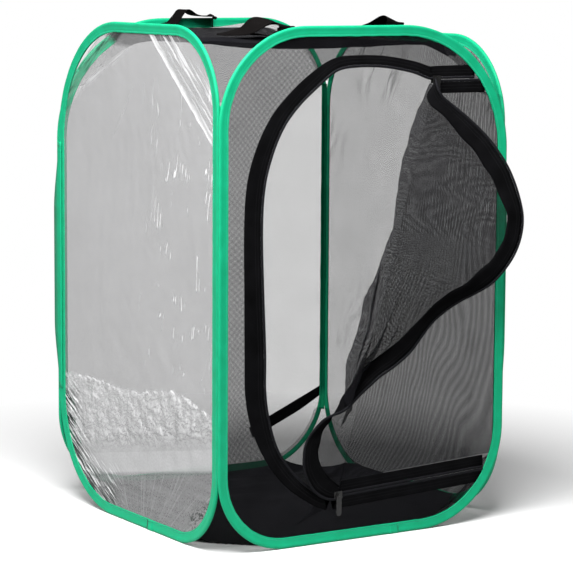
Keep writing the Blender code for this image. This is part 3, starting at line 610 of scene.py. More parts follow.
def inner_edge_right(up):
    """How far right the front hoop's binding leaves the net free at a height."""
    _, _, (_, low, high, _) = HOOPS["front"]
    radius = np.where(up > HEIGHT / 2, high, low)
    past = np.clip(np.where(up > HEIGHT / 2, up - (HEIGHT - radius), radius - up), 0, None)
    inner = radius - CLOTH_EDGE
    return HALF - radius + np.sqrt(np.clip(inner ** 2 - np.minimum(past, inner) ** 2, 0, None))


def tape(name, near, far, replaces):
    """A flat woven tape between two lines on the front wall, with rounded edges."""
    near, far = np.asarray(near), np.asarray(far)
    along = lengths(near)
    width = np.linalg.norm(far - near, axis=1)
    face = ((0.03, 0.8), (0.10, 1.0), (0.35, 1.0), (0.65, 1.0), (0.90, 1.0), (0.97, 0.8))
    profile = ((0.0, 0.0), *face, (1.0, 0.0), *((s, -t) for s, t in reversed(face)), (0.0, 0.0))
    rings, maps = [], []
    for a, b, reach, wide in zip(near, far, along, width):
        rings.append([place("front", a + (b - a) * s, TAPE_THICK / 2 * t) for s, t in profile])
        maps.append([(reach, wide * s) for s, _ in profile])
    return surface(name, *with_ends(rings, maps), TAPE, "zip_tape", "front", replaces, weld=True)


def coil(name, line, body, replaces):
    """The nylon coil: a cord whose turns stand out as fine ribs, wider than it is thick."""
    line = np.asarray(line, float)
    count = int(lengths(line)[-1] / COIL_STEP)
    line = evenly(line, count)
    ahead = np.gradient(line, axis=0)
    ahead /= np.linalg.norm(ahead, axis=1)[:, None]
    side = np.cross(ahead, [0.0, 1.0, 0.0])
    side /= np.linalg.norm(side, axis=1)[:, None]
    up = np.cross(side, ahead)
    turns = np.linspace(0, 2 * np.pi, COIL_SIDES + 1)
    size = COIL_RADIUS * np.where(np.arange(count) % 3 == 0, 0.70, 1.0)
    rings = [line + size[:, None] * (np.cos(t) * COIL_SPREAD * side + np.sin(t) * up) for t in turns]
    along = lengths(line)
    maps = [np.stack([along, np.full(count, t * COIL_RADIUS)], -1) for t in turns]
    rings, maps = with_ends(np.stack(rings, 1), np.stack(maps, 1), (line[0], line[-1]))
    return surface(name, rings, maps, COIL, "zip_coil", body, replaces, weld=True)


FRONT_NET = finish("black_net_of_the_front", net_look(0.37), Specular_IOR_Level=0.0)

free = DOOR[:, 0] < inner_edge_right(DOOR[:, 1])
tape_inner = (DOOR + DOOR_AWAY * TAPE_START)[free]
tape_outer = (DOOR + DOOR_AWAY * (TAPE_START + DOOR_LINE[:, 2:]))[free]
tape("surround_zip_tape", tape_inner, tape_outer, ["zip_tape_surround"])
coil("surround_zip_coil", place("front", DOOR[free], 0.0), "front", ["zip_coil_surround"])

points, ways, along = hoop_line("front", 0.004)
edge = points - ways * CLOTH_EDGE
first = np.argmin(np.linalg.norm(edge - [inner_edge_right(tape_outer[0][1]), tape_outer[0][1]], axis=1))
last = np.argmin(np.linalg.norm(edge - [inner_edge_right(tape_outer[-1][1]), tape_outer[-1][1]], axis=1))
rim = np.concatenate([edge[first:-1], edge[:last + 1]]) if last < first else edge[first:last + 1]
count = 240
shares = np.linspace(0, 1, 9)[:, None, None]
inner_line = evenly(tape_outer - DOOR_AWAY[free] * 0.003, count)
flat = inner_line[None] * (1 - shares) + evenly(rim, count)[None] * shares
spots = place("front", flat, 0.0)
out = 0.0016 * ripple(spots, 12.0, 21.0) * (np.sin(np.pi * shares[..., 0]))
surround_net = surface("surround_net", place("front", flat, out), flat, FRONT_NET, "black_mesh", "front",
                       ["front_surround_mesh"])


# The shut part of the door: right of the fold the zip is closed, so a second coil and tape lie just inside
# the first, above and below, and the net between them is stretched from the fold to the hoop.

HINGE_LOW = DOOR[LOWER] - DOOR_AWAY[LOWER] * COIL_PITCH / 2
HINGE_HIGH = DOOR[UPPER] - DOOR_AWAY[UPPER] * COIL_PITCH / 2
HINGE_LENGTH = np.linalg.norm(HINGE_HIGH - HINGE_LOW)
HINGE_ALONG = (HINGE_HIGH - HINGE_LOW) / HINGE_LENGTH
HINGE_RIGHT = np.array([HINGE_ALONG[1], -HINGE_ALONG[0]])


def panel_line(stations, distance):
    """A line inside the closed zip from the flap's fold to the hoop, at that distance from the outer coil."""
    start = HINGE_LOW if stations[0] == LOWER else HINGE_HIGH
    inward = -DOOR_AWAY[stations[0]]
    along_fold = (distance - COIL_PITCH / 2) / (HINGE_ALONG @ inward)
    start = start + HINGE_ALONG * along_fold + HINGE_RIGHT * 0.0006
    return np.array([start] + [DOOR[i] - DOOR_AWAY[i] * distance for i in stations[1:]])


DOOR_NET = finish("black_net_of_the_door", net_look(0.43), Specular_IOR_Level=0.0)

SHUT_TAPE_WIDE = 0.013
panel_edges = {}
for label, stations in (("upper", range(UPPER, -1, -1)), ("lower", range(LOWER, len(DOOR)))):
    coil_line = panel_line(stations, COIL_PITCH)
    keep = coil_line[:, 0] < inner_edge_right(coil_line[:, 1])
    coil_line = place("front", coil_line[keep], 0.0)
    coil(f"panel_zip_coil_{label}", coil_line, "front", [f"zip_coil_panel_{label}"])
    near = panel_line(stations, COIL_PITCH + TAPE_START)
    far = panel_line(stations, COIL_PITCH + TAPE_START + SHUT_TAPE_WIDE)
    keep = far[:, 0] < inner_edge_right(far[:, 1])
    tape(f"panel_zip_tape_{label}", near[keep], far[keep], [f"zip_tape_panel_{label}"])
    panel_edges[label] = far

rows = 90
shares = np.linspace(0, 1, rows)
low_left, high_left = panel_edges["lower"][0], panel_edges["upper"][0]
left_line = low_left + (high_left - low_left) * shares[:, None] - HINGE_RIGHT * 0.0016
low_right, high_right = panel_edges["lower"][-1][1], panel_edges["upper"][-1][1]
right_up = low_right + (high_right - low_right) * shares
right_line = np.stack([inner_edge_right(right_up), right_up], -1)
across = np.linspace(0, 1, 40)[None, :, None]
flat = left_line[:, None] * (1 - across) + right_line[:, None] * across
spots = place("front", flat, 0.0)
free_share = np.sin(np.pi * shares)[:, None] ** 0.5 * np.sin(np.pi * across[..., 0]) ** 0.5
out = free_share * (0.003 * ripple(spots, 9.0, 31.0) + 0.0012 * ripple(spots * [1, 1, 0.4], 40.0, 33.0))
panel_net = surface("door_panel_net", place("front", flat, out), flat, DOOR_NET, "black_mesh", "front",
                    ["door_panel_mesh"])


# The open part of the door: the same net, folded back to the right on the line between the two sliders. Its
# own tape and coil are sewn to its free edge and stiffen it into a long bow, and the net hangs from them in
# pleats.

FLAP_EDGES = smooth_line([
    (-3, 1, 1, 9, 3, 0), (-5, -15, 3, 14, -9, 1), (0, -34, 5, 19, -20, 2),
    (11, -49, 7, 26, -30, 3), (23, -58, 8, 35, -38, 3), (35, -62, 8, 45, -42, 2),
    (48, -64, 8, 58, -42, 2), (60, -61, 7, 65, -40, -2), (72, -54, 6, 73, -35, -6),
    (83, -46, 6, 82, -27, -10), (91, -35, 6, 92, -22, -13), (97, -25, 6, 102, -18, -14),
    (107, -16, 6, 112, -16, -14), (121, -7, 7, 127, -10, -12), (135, 4, 7, 143, -5, -9),
    (148, 14, 8, 156, 1, -3), (164, 31, 9, 173, 13, 4), (184, 47, 10, 191, 26, 11),
    (206, 57, 12, 208, 35, 16), (224, 66, 14, 225, 45, 20), (240, 77, 18, 243, 55, 24),
    (255, 90, 24, 262, 69, 31), (268, 103, 32, 276, 83, 38), (283, 116, 40, 295, 95, 42),
    (300, 124, 46, 308, 104, 46), (318, 130, 50, 324, 109, 49), (336, 133, 52, 337, 112, 51),
    (353, 133, 52, 350, 111, 52), (369, 130, 51, 365, 109, 51), (383, 124, 49, 376, 102, 48),
    (400, 114, 46, 388, 94, 43), (417, 102, 42, 403, 83, 40), (431, 88, 38, 414, 70, 36),
    (445, 72, 32, 429, 54, 32), (456, 54, 27, 439, 36, 28), (465, 37, 22, 450, 20, 25),
    (473, 19, 17, 459, 6, 22), (478, 5, 16, 465, -9, 19), (485, -4, 15, 471, -16, 16),
    (493, -7, 11, 479, -16, 12), (497, -5, 6, 486, -8, 7),
], 8) * 0.001
FLAP_COUNT = 180
FLAP_EDGES = evenly(FLAP_EDGES, FLAP_COUNT + 1)
FREE_EDGE, SEAM = FLAP_EDGES[:, :3], FLAP_EDGES[:, 3:]
FOLD_LINE = np.array([
    (0, -2), (60, -16), (110, -27), (131, -29), (155, -29), (182, -26), (242, -24), (278, -22), (309, -17),
    (318, -14), (339, -18), (374, -22), (398, -23), (434, -21), (458, -19), (471, -15), (496, -10),
]) * 0.001


def eased(share):
    share = np.clip(share, 0, 1)
    return share * share * (3 - 2 * share)


def flap_world(grid):
    """World points from places along the fold, right of it and out from the front wall."""
    flat = HINGE_LOW + grid[..., :1] * HINGE_ALONG + grid[..., 1:2] * HINGE_RIGHT
    return place("front", flat, grid[..., 2])


FLAP_NET = finish("black_net_of_the_flap", net_look(0.37), Specular_IOR_Level=0.0)

station = np.linspace(0, 1, FLAP_COUNT + 1)
start = np.stack([0.004 + station * (HINGE_LENGTH - 0.008), 0 * station - 0.0006, 0 * station], -1)
height = start[:, 0] + 0.35 * (SEAM[:, 0] - start[:, 0])
left = np.interp(height, FOLD_LINE[:, 0], FOLD_LINE[:, 1])
folded = eased((station - 0.13) / 0.12)[:, None]
turn = np.stack([height, left, 0.006 + 0 * left], -1)
after = turn + np.stack([0 * left, 0.010 + 0 * left, 0.008 + 0 * left], -1)
before = start + (turn - start) * 0.7 + [0.0, 0.0, -0.002]
rows = [start]
for share, spot in ((0.25, before), (0.45, turn), (0.62, after), (0.82, (after + SEAM) / 2)):
    straight = start + (SEAM - start) * share + [0.0, 0.0, 0.002]
    rows.append(straight * (1 - folded) + spot * folded)
rows.append(SEAM)
net_rows = np.array([evenly(smooth_line(np.array(row), 8), 64) for row in np.array(rows).transpose(1, 0, 2)])
across = np.linspace(0, 1, 64)[None]
world = flap_world(net_rows)
normal = np.cross(np.gradient(world, axis=0), np.gradient(world, axis=1))
normal /= np.maximum(np.linalg.norm(normal, axis=-1), 1e-9)[..., None]
steps = np.linalg.norm(np.diff(world, axis=1), axis=-1)
reach = np.concatenate([np.zeros((FLAP_COUNT + 1, 1)), np.cumsum(steps, 1)], 1)
ends = eased(station / 0.06) * eased((1 - station) / 0.06)
rest = eased(across / 0.10) * eased((1 - across) / 0.14) * ends[:, None]
gathered = eased((station - 0.24) / 0.08) * eased((0.62 - station) / 0.16)
low = eased((0.26 - station) / 0.10)
pleats = 0.0052 * gathered[:, None] * np.sin(reach * 430 + 2.2 * ripple(world, 14.0, 41.0))
pleats += 0.0028 * low[:, None] * np.sin(reach * 300 + net_rows[..., 0] * 90 + 2 * ripple(world, 22.0, 43.0))
pleats += 0.0016 * ripple(world, 30.0, 47.0) + 0.0010 * ripple(world, 75.0, 49.0)
flap_map = np.stack([np.repeat(station[:, None] * 0.55, 64, 1), reach], -1)
world = world + normal * (pleats * rest)[..., None]
flap_net = surface("door_flap_net", world, flap_map, FLAP_NET, "black_mesh", None, ["door_flap_mesh"])

shares = np.linspace(0, 1, 7)[None, :, None]
tape_world = flap_world(SEAM[:, None] * (1 - shares) + FREE_EDGE[:, None] * shares)
normal = np.cross(np.gradient(tape_world, axis=0), np.gradient(tape_world, axis=1))
normal /= np.maximum(np.linalg.norm(normal, axis=-1), 1e-9)[..., None]
waves = 0.0012 * ripple(tape_world, 45.0, 61.0) * np.sin(np.pi * shares[..., 0])
tape_world = tape_world + normal * waves[..., None]
half = np.array([0.0002, 0.0005, 0.0005, 0.0005, 0.0005, 0.0005, 0.0002])[None, :, None]
upper_face, under_face = tape_world + normal * half, tape_world - normal * half
ring = np.concatenate([upper_face, under_face[:, ::-1], upper_face[:, :1]], 1)
along = np.repeat(lengths(tape_world[:, -1])[:, None], 7, 1)
wide = 0.022 * (1 - np.tile(shares[..., 0], (FLAP_COUNT + 1, 1)))
tape_map = np.stack([along, wide], -1)
ring_map = np.concatenate([tape_map, tape_map[:, ::-1], tape_map[:, :1]], 1)
flap_tape = surface("flap_zip_tape", ring, ring_map, TAPE, "zip_tape", None, ["zip_tape_flap"], weld=True)

edge_line = tape_world[:, -1]
inward = tape_world[:, -2] - edge_line
ahead = np.gradient(edge_line, axis=0)
ahead /= np.linalg.norm(ahead, axis=1)[:, None]
inward -= ahead * (inward * ahead).sum(1)[:, None]
inward /= np.linalg.norm(inward, axis=1)[:, None]
flap_coil = coil("flap_zip_coil", edge_line - inward * 0.0016, None, ["zip_coil_flap"])
for piece in (flap_net, flap_tape, flap_coil):
    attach(piece, "door_flap")


# The sliders and their pulls: black enamelled zinc castings, with the zinc showing where they are worn. Their
# solids are the finished shapes, so only their look is set here.


def slider_look(place, u, v):
    worn = clamped(noised(place, 420.0, 4.0) * 3.0 - 1.75)
    grain = noised(place, 1500.0)
    return {
        "Base Color": mixed(worn, (0.005, 0.005, 0.005), (0.13, 0.13, 0.135)),
        "Metallic": worn * 0.7,
        "Roughness": grain * 0.2 + 0.26,
        "Height": (grain + worn, 0.00004),
    }


ENAMEL = finish("black_enamelled_zinc", slider_look, on_cloth=False, Coat_Weight=0.3, Coat_Roughness=0.15)

for name in ("slider_upper", "slider_lower", "pull_upper", "pull_lower"):
    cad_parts[name].data.materials.clear()
    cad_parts[name].data.materials.append(ENAMEL)


# The roof and the floor: dense net above and black woven cloth below, sewn to the walls' inner seams, so that
# they follow the hoops' round corners. Each is in four gores, one to a wall, that gather to it as the cage
# folds flat.

SEAM_PLANE = 0.1954
ROOF_LEVEL = HEIGHT - REACH
ROOF_SAG = 0.020
CORNER_CUT = 0.214
CLOTH_THREAD = 0.0005


def seam_height(wall, across, top):
    """How high the binding's inner seam runs at a place along a wall, at its top or its bottom."""
    run, height, (low_bottom, high_bottom, high_top, low_top) = HOOPS[wall]
    radius = (high_top if across > 0 else low_top) if top else (high_bottom if across > 0 else low_bottom)
    past = max(abs(across) - (run / 2 - radius), 0)
    inner = radius - REACH
    fall = inner - math.sqrt(max(inner ** 2 - past ** 2, 0))
    return height - REACH - fall if top else REACH + fall


def cloth_height(x, y, top):
    """The roof's or the floor's height: it follows the four seams, and sags between them."""
    level = ROOF_LEVEL if top else REACH
    most = 0.0715 if top else 0.0640
    sign = -1 if top else 1

    def away(wall, across):
        return min(sign * (seam_height(wall, across, top) - level), most)

    a, b = x / SEAM_PLANE, y / SEAM_PLANE
    u, v = (a + 1) / 2, (b + 1) / 2
    near, far, low, high = (1 - v) ** 5, v ** 5, (1 - u) ** 5, u ** 5
    change = away("front", x) * near + away("back", x) * far + away("left", y) * low + away("right", y) * high
    change -= most * (near + far) * (low + high)
    if top:
        return level - change - ROOF_SAG * (1 - a ** 2) * (1 - b ** 2)
    return max(level + change - level * (1 - a ** 8) * (1 - b ** 8), 0.0003)


GORE_ACROSS = {"front": (1, 0), "back": (1, 0), "left": (0, 1), "right": (0, 1)}
GORE_TOWARD = {"front": (0, -1), "back": (0, 1), "left": (-1, 0), "right": (1, 0)}


def cut_away(obj, keep_inside):
    """Cut a floor gore along the lines that close the corners, and keep what is inside or outside them."""
    bm = bmesh.new()
    bm.from_mesh(obj.data)
    for side_x, side_y in ((-1, -1), (1, -1), (1, 1), (-1, 1)):
        way = Vector((side_x, side_y, 0)).normalized()
        spot = way * CORNER_CUT
        geometry = bm.verts[:] + bm.edges[:] + bm.faces[:]
        bmesh.ops.bisect_plane(bm, geom=geometry, plane_co=spot, plane_no=way, clear_outer=keep_inside)
    if not keep_inside:
        middles = {f: f.calc_center_median() for f in bm.faces}
        inner = [f for f in bm.faces if abs(middles[f].x) + abs(middles[f].y) < CORNER_CUT * 2 ** 0.5]
        bmesh.ops.delete(bm, geom=inner, context="FACES")
    bm.to_mesh(obj.data)
    bm.free()


def gores(kind, top, look, slot, node, wrinkle, part=None):
    """Four triangles from the walls' seams to the middle."""
    made = []
    for wall in HOOPS:
        across, toward = np.array(GORE_ACROSS[wall]), np.array(GORE_TOWARD[wall])
        depth = 1 - np.linspace(0, 1, 30) ** 1.2
        spread = np.sin(np.linspace(-1, 1, 61) * math.pi / 2)
        flat = SEAM_PLANE * depth[:, None, None] * (spread[None, :, None] * across + toward)
        heights = np.array([[cloth_height(x, y, top) for x, y in row] for row in flat])
        spots = np.concatenate([flat, heights[..., None]], -1)
        rim = 1 - np.maximum(abs(flat[..., 0]), abs(flat[..., 1])) / SEAM_PLANE
        free = np.clip(rim * 5, 0, 1)
        lift = wrinkle * free * (ripple(spots, 16.0, 51.0) + 0.4 * ripple(spots, 50.0, 53.0))
        spots[..., 2] += lift if top else abs(lift)
        gore = surface(f"{kind}_{wall}_gore", spots, flat, look, slot, None, [node], weld=True)
        if part:
            cut_away(gore, part == "inside")
        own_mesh(gore)
        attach(gore, wall)
        made.append(gore)
    return made


def roof_look(place, u, v):
    """Dense in the middle, and plain open net beyond the chords that close the corners."""
    look = net_look(0.72)(place, u, v)
    corner = clamped((u.math("ABSOLUTE") + v.math("ABSOLUTE") - 0.3026) * 900)
    look["Alpha"] = look["Alpha"] * (1 - corner) + net_look(0.245)(place, u, v)["Alpha"] * corner
    look["Alpha"] = look["Alpha"] * (1 - clamped((v - u - 0.262) * 60) * 0.85)
    return look


def cloth_look(place, u, v):
    weave = from_whole(u / CLOTH_THREAD) + from_whole(v / CLOTH_THREAD)
    patch = noised(place, 14.0)
    # Along the back wall the cloth's edge is coloured a dark green: the binding's green darkened as painted
    # shade
    painted_border = clamped((v - 0.178) * 1500)
    # Lighter lines along the folds are painted highlights; the rest of the tone varies at random
    fold = clamped((stretched(place, u * 9 + patch * 2, v * 75, 3.0) - 0.50) * 5) * clamped((v + 0.06) * 9)
    ground = mixed(clamped(patch * 0.3 + fold), (0.003, 0.003, 0.004), (0.022, 0.022, 0.026))
    return {
        "Base Color": coated(painted_border, ground, (0.003, 0.075, 0.038)),
        "Roughness": patch * 0.2 + 0.62,
        "Height": (weave + noised(place, 120.0) * 2, 0.00012),
    }


ROOF_NET = finish("black_net_of_the_roof", roof_look, Specular_IOR_Level=0.0)
CLOTH = finish("black_floor_cloth", cloth_look, Specular_IOR_Level=0.06, Sheen_Weight=0.03, Sheen_Roughness=0.5)

gores("roof_net", True, ROOF_NET, "black_mesh", "roof_mesh", 0.003)
gores("floor_cloth", False, CLOTH, "black_cloth", "floor_cloth", 0.0012, "inside")
gores("floor_corner_net", False, NET, "black_cloth", "floor_cloth", 0.0012, "outside")


# The corner strips: the same green cloth, sewn from hoop to hoop where two walls meet. Two are folded into
# the inside of their corners and two lie flat over the outside. They are the cage's hinges, so they give as
# it folds.

STRIP_THICK = 0.0006
CLEAR = 0.0003


def shaded_look(place, u, v):
    """The binding in the far corner's shade, catching the light at its foot."""
    look = binding_look(place, u, v, 0.42)
    lit = clamped((0.104 - u) * 90)
    look["Base Color"] = coated(lit, look["Base Color"], (0.012, 0.36, 0.17))
    return look


SHADED_GREEN = finish("green_binding_cloth_in_shade", shaded_look, Specular_IOR_Level=0.08)


def corner_strip(name, side_x, side_y):
    """A strip folded into the inside of a corner."""
    near = PLANE - BINDING_HALF - CLEAR
    arm = 0.005 if side_x > 0 else 0.009
    stops = (arm, arm * 2 / 3, arm / 3)
    outer = [(-stop, 0.0) for stop in stops] + [(0.0, 0.0)] + [(0.0, -stop) for stop in reversed(stops)]
    inner = [(-STRIP_THICK, -stop) for stop in stops] + [(-STRIP_THICK, -STRIP_THICK)]
    inner += [(-stop, -STRIP_THICK) for stop in reversed(stops)]
    shape = outer + inner + outer[:1]
    ups = np.linspace(0.080 if side_x < 0 else 0.074, 0.512, 80)
    flare = [0.0012 * noise.noise(Vector((side_x, side_y, up * 40))) for up in ups]
    rings = []
    for up, f in zip(ups, flare):
        wide = 1 + f / 0.009
        rings.append([(side_x * (near + a * wide), side_y * (near + b * wide), up) for a, b in shape])
    reach = lengths(np.array(shape))
    maps = [[(up, 0.004 + d % 0.012) for d in reach] for up in ups]
    look = GREEN if side_x < 0 else SHADED_GREEN
    obj = surface(name, *with_ends(rings, maps), look, "green_binding", None, [name.replace("_band", "")],
                  weld=True)
    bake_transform(obj)


corner_strip("corner_strip_front_left_band", -1, -1)
corner_strip("corner_strip_back_right_band", 1, 1)


def outer_strip(name, side_x, side_y):
    """A flat strip over the outside of a corner."""
    face = PLANE + BINDING_HALF + CLEAR
    ups = np.linspace(0.138, 0.448, 70)
    stops = (0.0, 0.004, 0.0085, 0.013)
    profile = [(s, 0.0) for s in stops] + [(s, STRIP_THICK) for s in reversed(stops)] + [(0.0, 0.0)]
    rings = []
    for up in ups:
        share = min((up - ups[0]) / 0.085, (ups[-1] - up) / 0.085, 1.0)
        share = share * share * (3 - 2 * share)
        edge = 0.0043 * (1 - share) - (0.0065 * share if side_x < 0 else 0)
        thin = 0.1 + 0.9 * share
        ring = [(s if s > max(edge, 0) else edge, t) for s, t in profile]
        rings.append([(side_x * (face + t * thin), side_y * (HALF - s), up) for s, t in ring])
    reach = lengths(np.array(profile))
    maps = [[(up, d) for d in reach] for up in ups]
    return surface(name, *with_ends(rings, maps), GREEN, "green_binding", None, [name.replace("_band", "")],
                   weld=True)


front_right_band = outer_strip("corner_strip_front_right_band", 1, -1)
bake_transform(front_right_band)
back_left_band = outer_strip("corner_strip_back_left_band", -1, 1)
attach(back_left_band, "left")


# The webbing: black woven tape, 25 mm wide and 1.2 mm thick. The two handles stand on the roof's front and
# back edges, their ends sewn down inside the binding, and a narrower strap lies across the foot of the back
# wall.

WEBBING_WIDE = 0.025
WEBBING_THICK = 0.0012
WEBBING_THREAD = 0.0008
ZIGZAG_PITCH = 0.0016


def webbing_look(place, u, v):
    zigzag = from_whole(u / ZIGZAG_PITCH + from_whole(v / (WEBBING_WIDE / 2)) * 8)
    across = from_whole(v / WEBBING_THREAD)
    fuzz = noised(place, 90.0)
    tone = clamped(zigzag * 1.2 + fuzz * 0.4 - 0.1)
    return {
        "Base Color": mixed(tone, (0.0015, 0.0012, 0.0012), (0.007, 0.006, 0.006)),
        "Roughness": fuzz * 0.2 + 0.6,
        "Height": (zigzag * 1.5 + across * 0.6, 0.00022),
    }


WEBBING = finish("handle_webbing", webbing_look, Specular_IOR_Level=0.03)


STRAP_FACE = [(-0.49, 0.35), (-0.46, 0.5), (-0.25, 0.5), (0.0, 0.5), (0.25, 0.5), (0.46, 0.5), (0.49, 0.35)]
STRAP_PROFILE = [(-0.5, 0.0), *STRAP_FACE, (0.5, 0.0), *((s, -t) for s, t in reversed(STRAP_FACE)), (-0.5, 0.0)]


def strap(name, points, widths, replaces, size=WEBBING_WIDE):
    """Flat webbing along a line, its width pointing as given at each place."""
    points, widths = np.asarray(points, float), np.asarray(widths, float)
    ahead = np.gradient(points, axis=0)
    ahead /= np.linalg.norm(ahead, axis=1)[:, None]
    wide = widths - ahead * (widths * ahead).sum(1)[:, None]
    wide /= np.linalg.norm(wide, axis=1)[:, None]
    face = np.cross(ahead, wide)
    along = lengths(points)
    profile = np.array(STRAP_PROFILE)
    rings = points[:, None] + wide[:, None] * profile[None, :, :1] * np.reshape(size, (-1, 1, 1))
    rings = rings + face[:, None] * profile[None, :, 1:] * WEBBING_THICK
    across = np.tile(profile[:, 0] * WEBBING_WIDE, (len(points), 1))
    maps = np.stack([np.repeat(along[:, None], len(profile), 1), across], -1)
    rings, maps = with_ends(rings, maps, (points[0], points[-1]))
    return surface(name, rings, maps, WEBBING, "webbing", None, replaces, weld=True)


def handle_line(table, toward, ends_up):
    """The webbing's middle line and its width's way, from one sewn end over the loop to the other."""
    rows = []
    for across, inward, rise, way in table:
        spot = (across * HALF, -toward * HALF + toward * (0.0049 + inward * 0.120), 0.6003 + rise * 0.026)
        rows.append((*spot, way[0], toward * way[1], way[2]))
    line = smooth_line(rows, 8)
    first, last = line[0].copy(), line[-1].copy()
    first[2], last[2] = ends_up
    return np.concatenate([[first], line, [last]])


FRONT_HANDLE = (
    (-0.55, 0.00, -0.20, (1.0, 0.0, -0.1)), (-0.55, 0.01, -0.04, (1.0, 0.0, -0.2)),
    (-0.57, 0.09, 0.06, (1.0, 0.1, -0.2)), (-0.62, 0.24, 0.02, (0.75, 0.3, 0.5)),
    (-0.66, 0.38, -0.06, (0.6, 0.0, 0.8)), (-0.68, 0.58, -0.28, (0.8, -0.2, 0.4)),
    (-0.64, 0.84, -0.36, (0.6, -0.6, 0.2)), (-0.50, 0.97, -0.42, (0.1, -1.0, 0.1)),
    (-0.30, 0.97, -0.56, (0.0, -1.0, 0.0)), (-0.07, 0.84, -0.50, (-0.3, -0.9, 0.1)),
    (0.09, 0.60, -0.34, (-0.7, -0.7, 0.1)), (0.17, 0.32, -0.08, (-0.9, -0.3, 0.2)),
    (0.19, 0.11, 0.20, (-1.0, -0.1, 0.4)), (0.19, 0.01, 0.16, (-1.0, 0.0, 0.4)),
    (0.19, 0.00, 0.00, (-1.0, 0.0, 0.2)),
)
BACK_HANDLE = (
    (0.080, 0.09, 0.00, (0.5, -0.85, 0.0)), (0.080, 0.09, 0.06, (0.5, -0.85, 0.0)),
    (0.045, 0.09, 0.08, (0.3, -0.9, 0.0)), (-0.02, 0.09, 0.10, (0.1, -1.0, 0.0)),
    (-0.07, 0.09, 0.18, (0.0, -1.0, 0.0)), (-0.115, 0.09, 0.38, (0.0, -1.0, 0.0)),
    (-0.15, 0.10, 0.36, (0.0, -1.0, 0.0)), (-0.19, 0.12, 0.10, (0.0, -1.0, 0.0)),
    (-0.25, 0.16, -0.24, (0.0, -1.0, 0.1)), (-0.36, 0.19, -0.40, (0.0, -1.0, 0.1)),
    (-0.46, 0.17, -0.46, (-0.1, -0.9, 0.0)), (-0.53, 0.11, -0.46, (-0.3, -0.7, 0.0)),
    (-0.55, 0.05, -0.46, (-0.8, -0.3, 0.0)), (-0.55, 0.01, -0.50, (-1.0, 0.0, 0.0)),
    (-0.55, 0.00, -0.60, (-1.0, 0.0, 0.0)),
)
line = handle_line(FRONT_HANDLE, 1, (0.5885, 0.5885))
front_handle = strap("front_handle_webbing", line[:, :3], line[:, 3:],
                     ["front_handle", "front_handle_end_left", "front_handle_end_right"])
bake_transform(front_handle)
line = handle_line(BACK_HANDLE, -1, (0.5885, 0.5810))
back_handle = strap("back_handle_webbing", line[:, :3], line[:, 3:],
                    ["back_handle", "back_handle_end_left", "back_handle_end_right"])
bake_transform(back_handle)

flat = smooth_line([(0.086, 0.0505), (0.1157, 0.0628), (0.160, 0.0818), (0.1985, 0.1005)], 8)
points = place("back", flat, BINDING_HALF + CLEAR + WEBBING_THICK / 2)
size = np.interp(flat[:, 0], (0.160, 0.1985), (0.0155, 0.0115))
ways = np.tile([-0.44, 0.0, 0.90], (len(flat), 1))
tie = strap("storage_strap_webbing", points, ways, ["storage_strap"], size)
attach(tie, "back")


# The stage: a plain pale floor under two soft lamps and a grey world, seen from the photograph's side. The
# white background is for the camera's rays alone, so it adds no light to the cage.


def floor_look(place, u, v):
    grain = noised(place, 30.0)
    seen = Signal(place.tree, place.tree.nodes.new("ShaderNodeLightPath").outputs["Is Camera Ray"])
    shade = grain * 0.01 + seen * 0.45 + 0.505
    return {"Base Color": mixed(shade, (0.0, 0.0, 0.0), (1.0, 1.0, 1.0)), "Roughness": grain * 0.1 + 0.75}


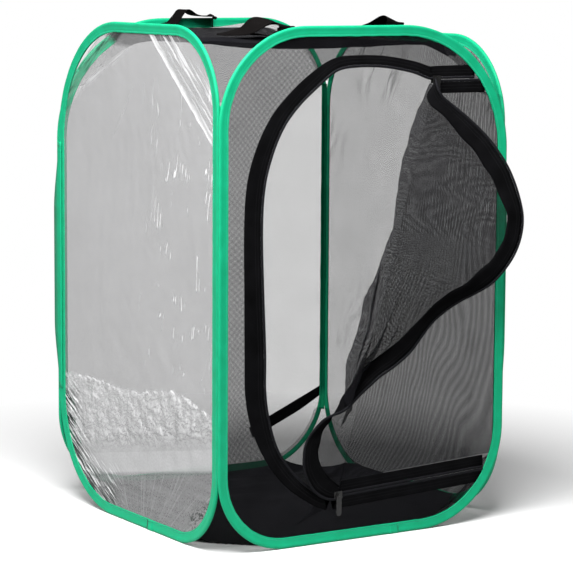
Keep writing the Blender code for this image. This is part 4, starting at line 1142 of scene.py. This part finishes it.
SHADOW_REACH = 0.42
PAPER = finish("pale_floor", floor_look, on_cloth=False, Specular_IOR_Level=0.1)
tree = PAPER.node_tree
ground = Signal(tree, tree.nodes.new("ShaderNodeTexCoord").outputs["Object"])
away = ground.node("ShaderNodeVectorMath", {0: ground}, 1, operation="LENGTH")
bright = tree.nodes.new("ShaderNodeEmission")
blend = tree.nodes.new("ShaderNodeMixShader")
seen = Signal(tree, tree.nodes.new("ShaderNodeLightPath").outputs["Is Camera Ray"])
tree.links.new((seen * 0.75 + 0.25).socket, bright.inputs["Strength"])
tree.links.new(clamped((away - SHADOW_REACH) / 0.40).socket, blend.inputs[0])
tree.links.new(tree.nodes["Principled BSDF"].outputs[0], blend.inputs[1])
tree.links.new(bright.outputs[0], blend.inputs[2])
tree.links.new(blend.outputs[0], tree.nodes["Material Output"].inputs[0])
bm = bmesh.new()
bmesh.ops.create_grid(bm, x_segments=4, y_segments=4, size=60.0)
mesh = bpy.data.meshes.new("studio_floor")
bm.to_mesh(mesh)
bm.free()
floor = bpy.data.objects.new("studio_floor", mesh)
bpy.context.scene.collection.objects.link(floor)
floor.data.materials.append(PAPER)
floor.location.z = -0.0004

world = bpy.data.worlds.new("studio")
bpy.context.scene.world = world
world.use_nodes = True
background = world.node_tree.nodes["Background"]
background.inputs["Color"].default_value = (1, 1, 1, 1)
path = world.node_tree.nodes.new("ShaderNodeLightPath")
seen = Signal(world.node_tree, path.outputs["Is Camera Ray"])
world.node_tree.links.new((seen * 0.78 + 0.22).socket, background.inputs["Strength"])


def lamp(name, spot, aim, size, power):
    data = bpy.data.lights.new(name, "AREA")
    data.shape = "SQUARE"
    data.size = size
    data.energy = power
    obj = bpy.data.objects.new(name, data)
    bpy.context.scene.collection.objects.link(obj)
    obj.location = spot
    obj.rotation_euler = (Vector(aim) - Vector(spot)).to_track_quat("-Z", "Y").to_euler()


lamp("top_softbox", (-0.55, -0.62, 1.45), (0, 0, 0.4), 0.9, 44)
lamp("left_softbox", (-2.8, 0.2, 1.1), (0, 0, 0.3), 1.2, 20)

camera = bpy.data.objects.new("photo_camera", bpy.data.cameras.new("photo_camera"))
bpy.context.scene.collection.objects.link(camera)
camera.data.lens = 154.41
camera.data.sensor_width = 36.0
camera.data.clip_end = 200.0
right = Vector((0.84733, -0.53103, 0.00594))
up = Vector((0.06395, 0.11313, 0.99152))
back = right.cross(up)
camera.matrix_world = Matrix((
    (right.x, up.x, back.x, -1.58541),
    (right.y, up.y, back.y, -2.54849),
    (right.z, up.z, back.z, 0.66825),
    (0, 0, 0, 1),
))
bpy.context.scene.camera = camera
bpy.context.scene.view_settings.view_transform = "Standard"
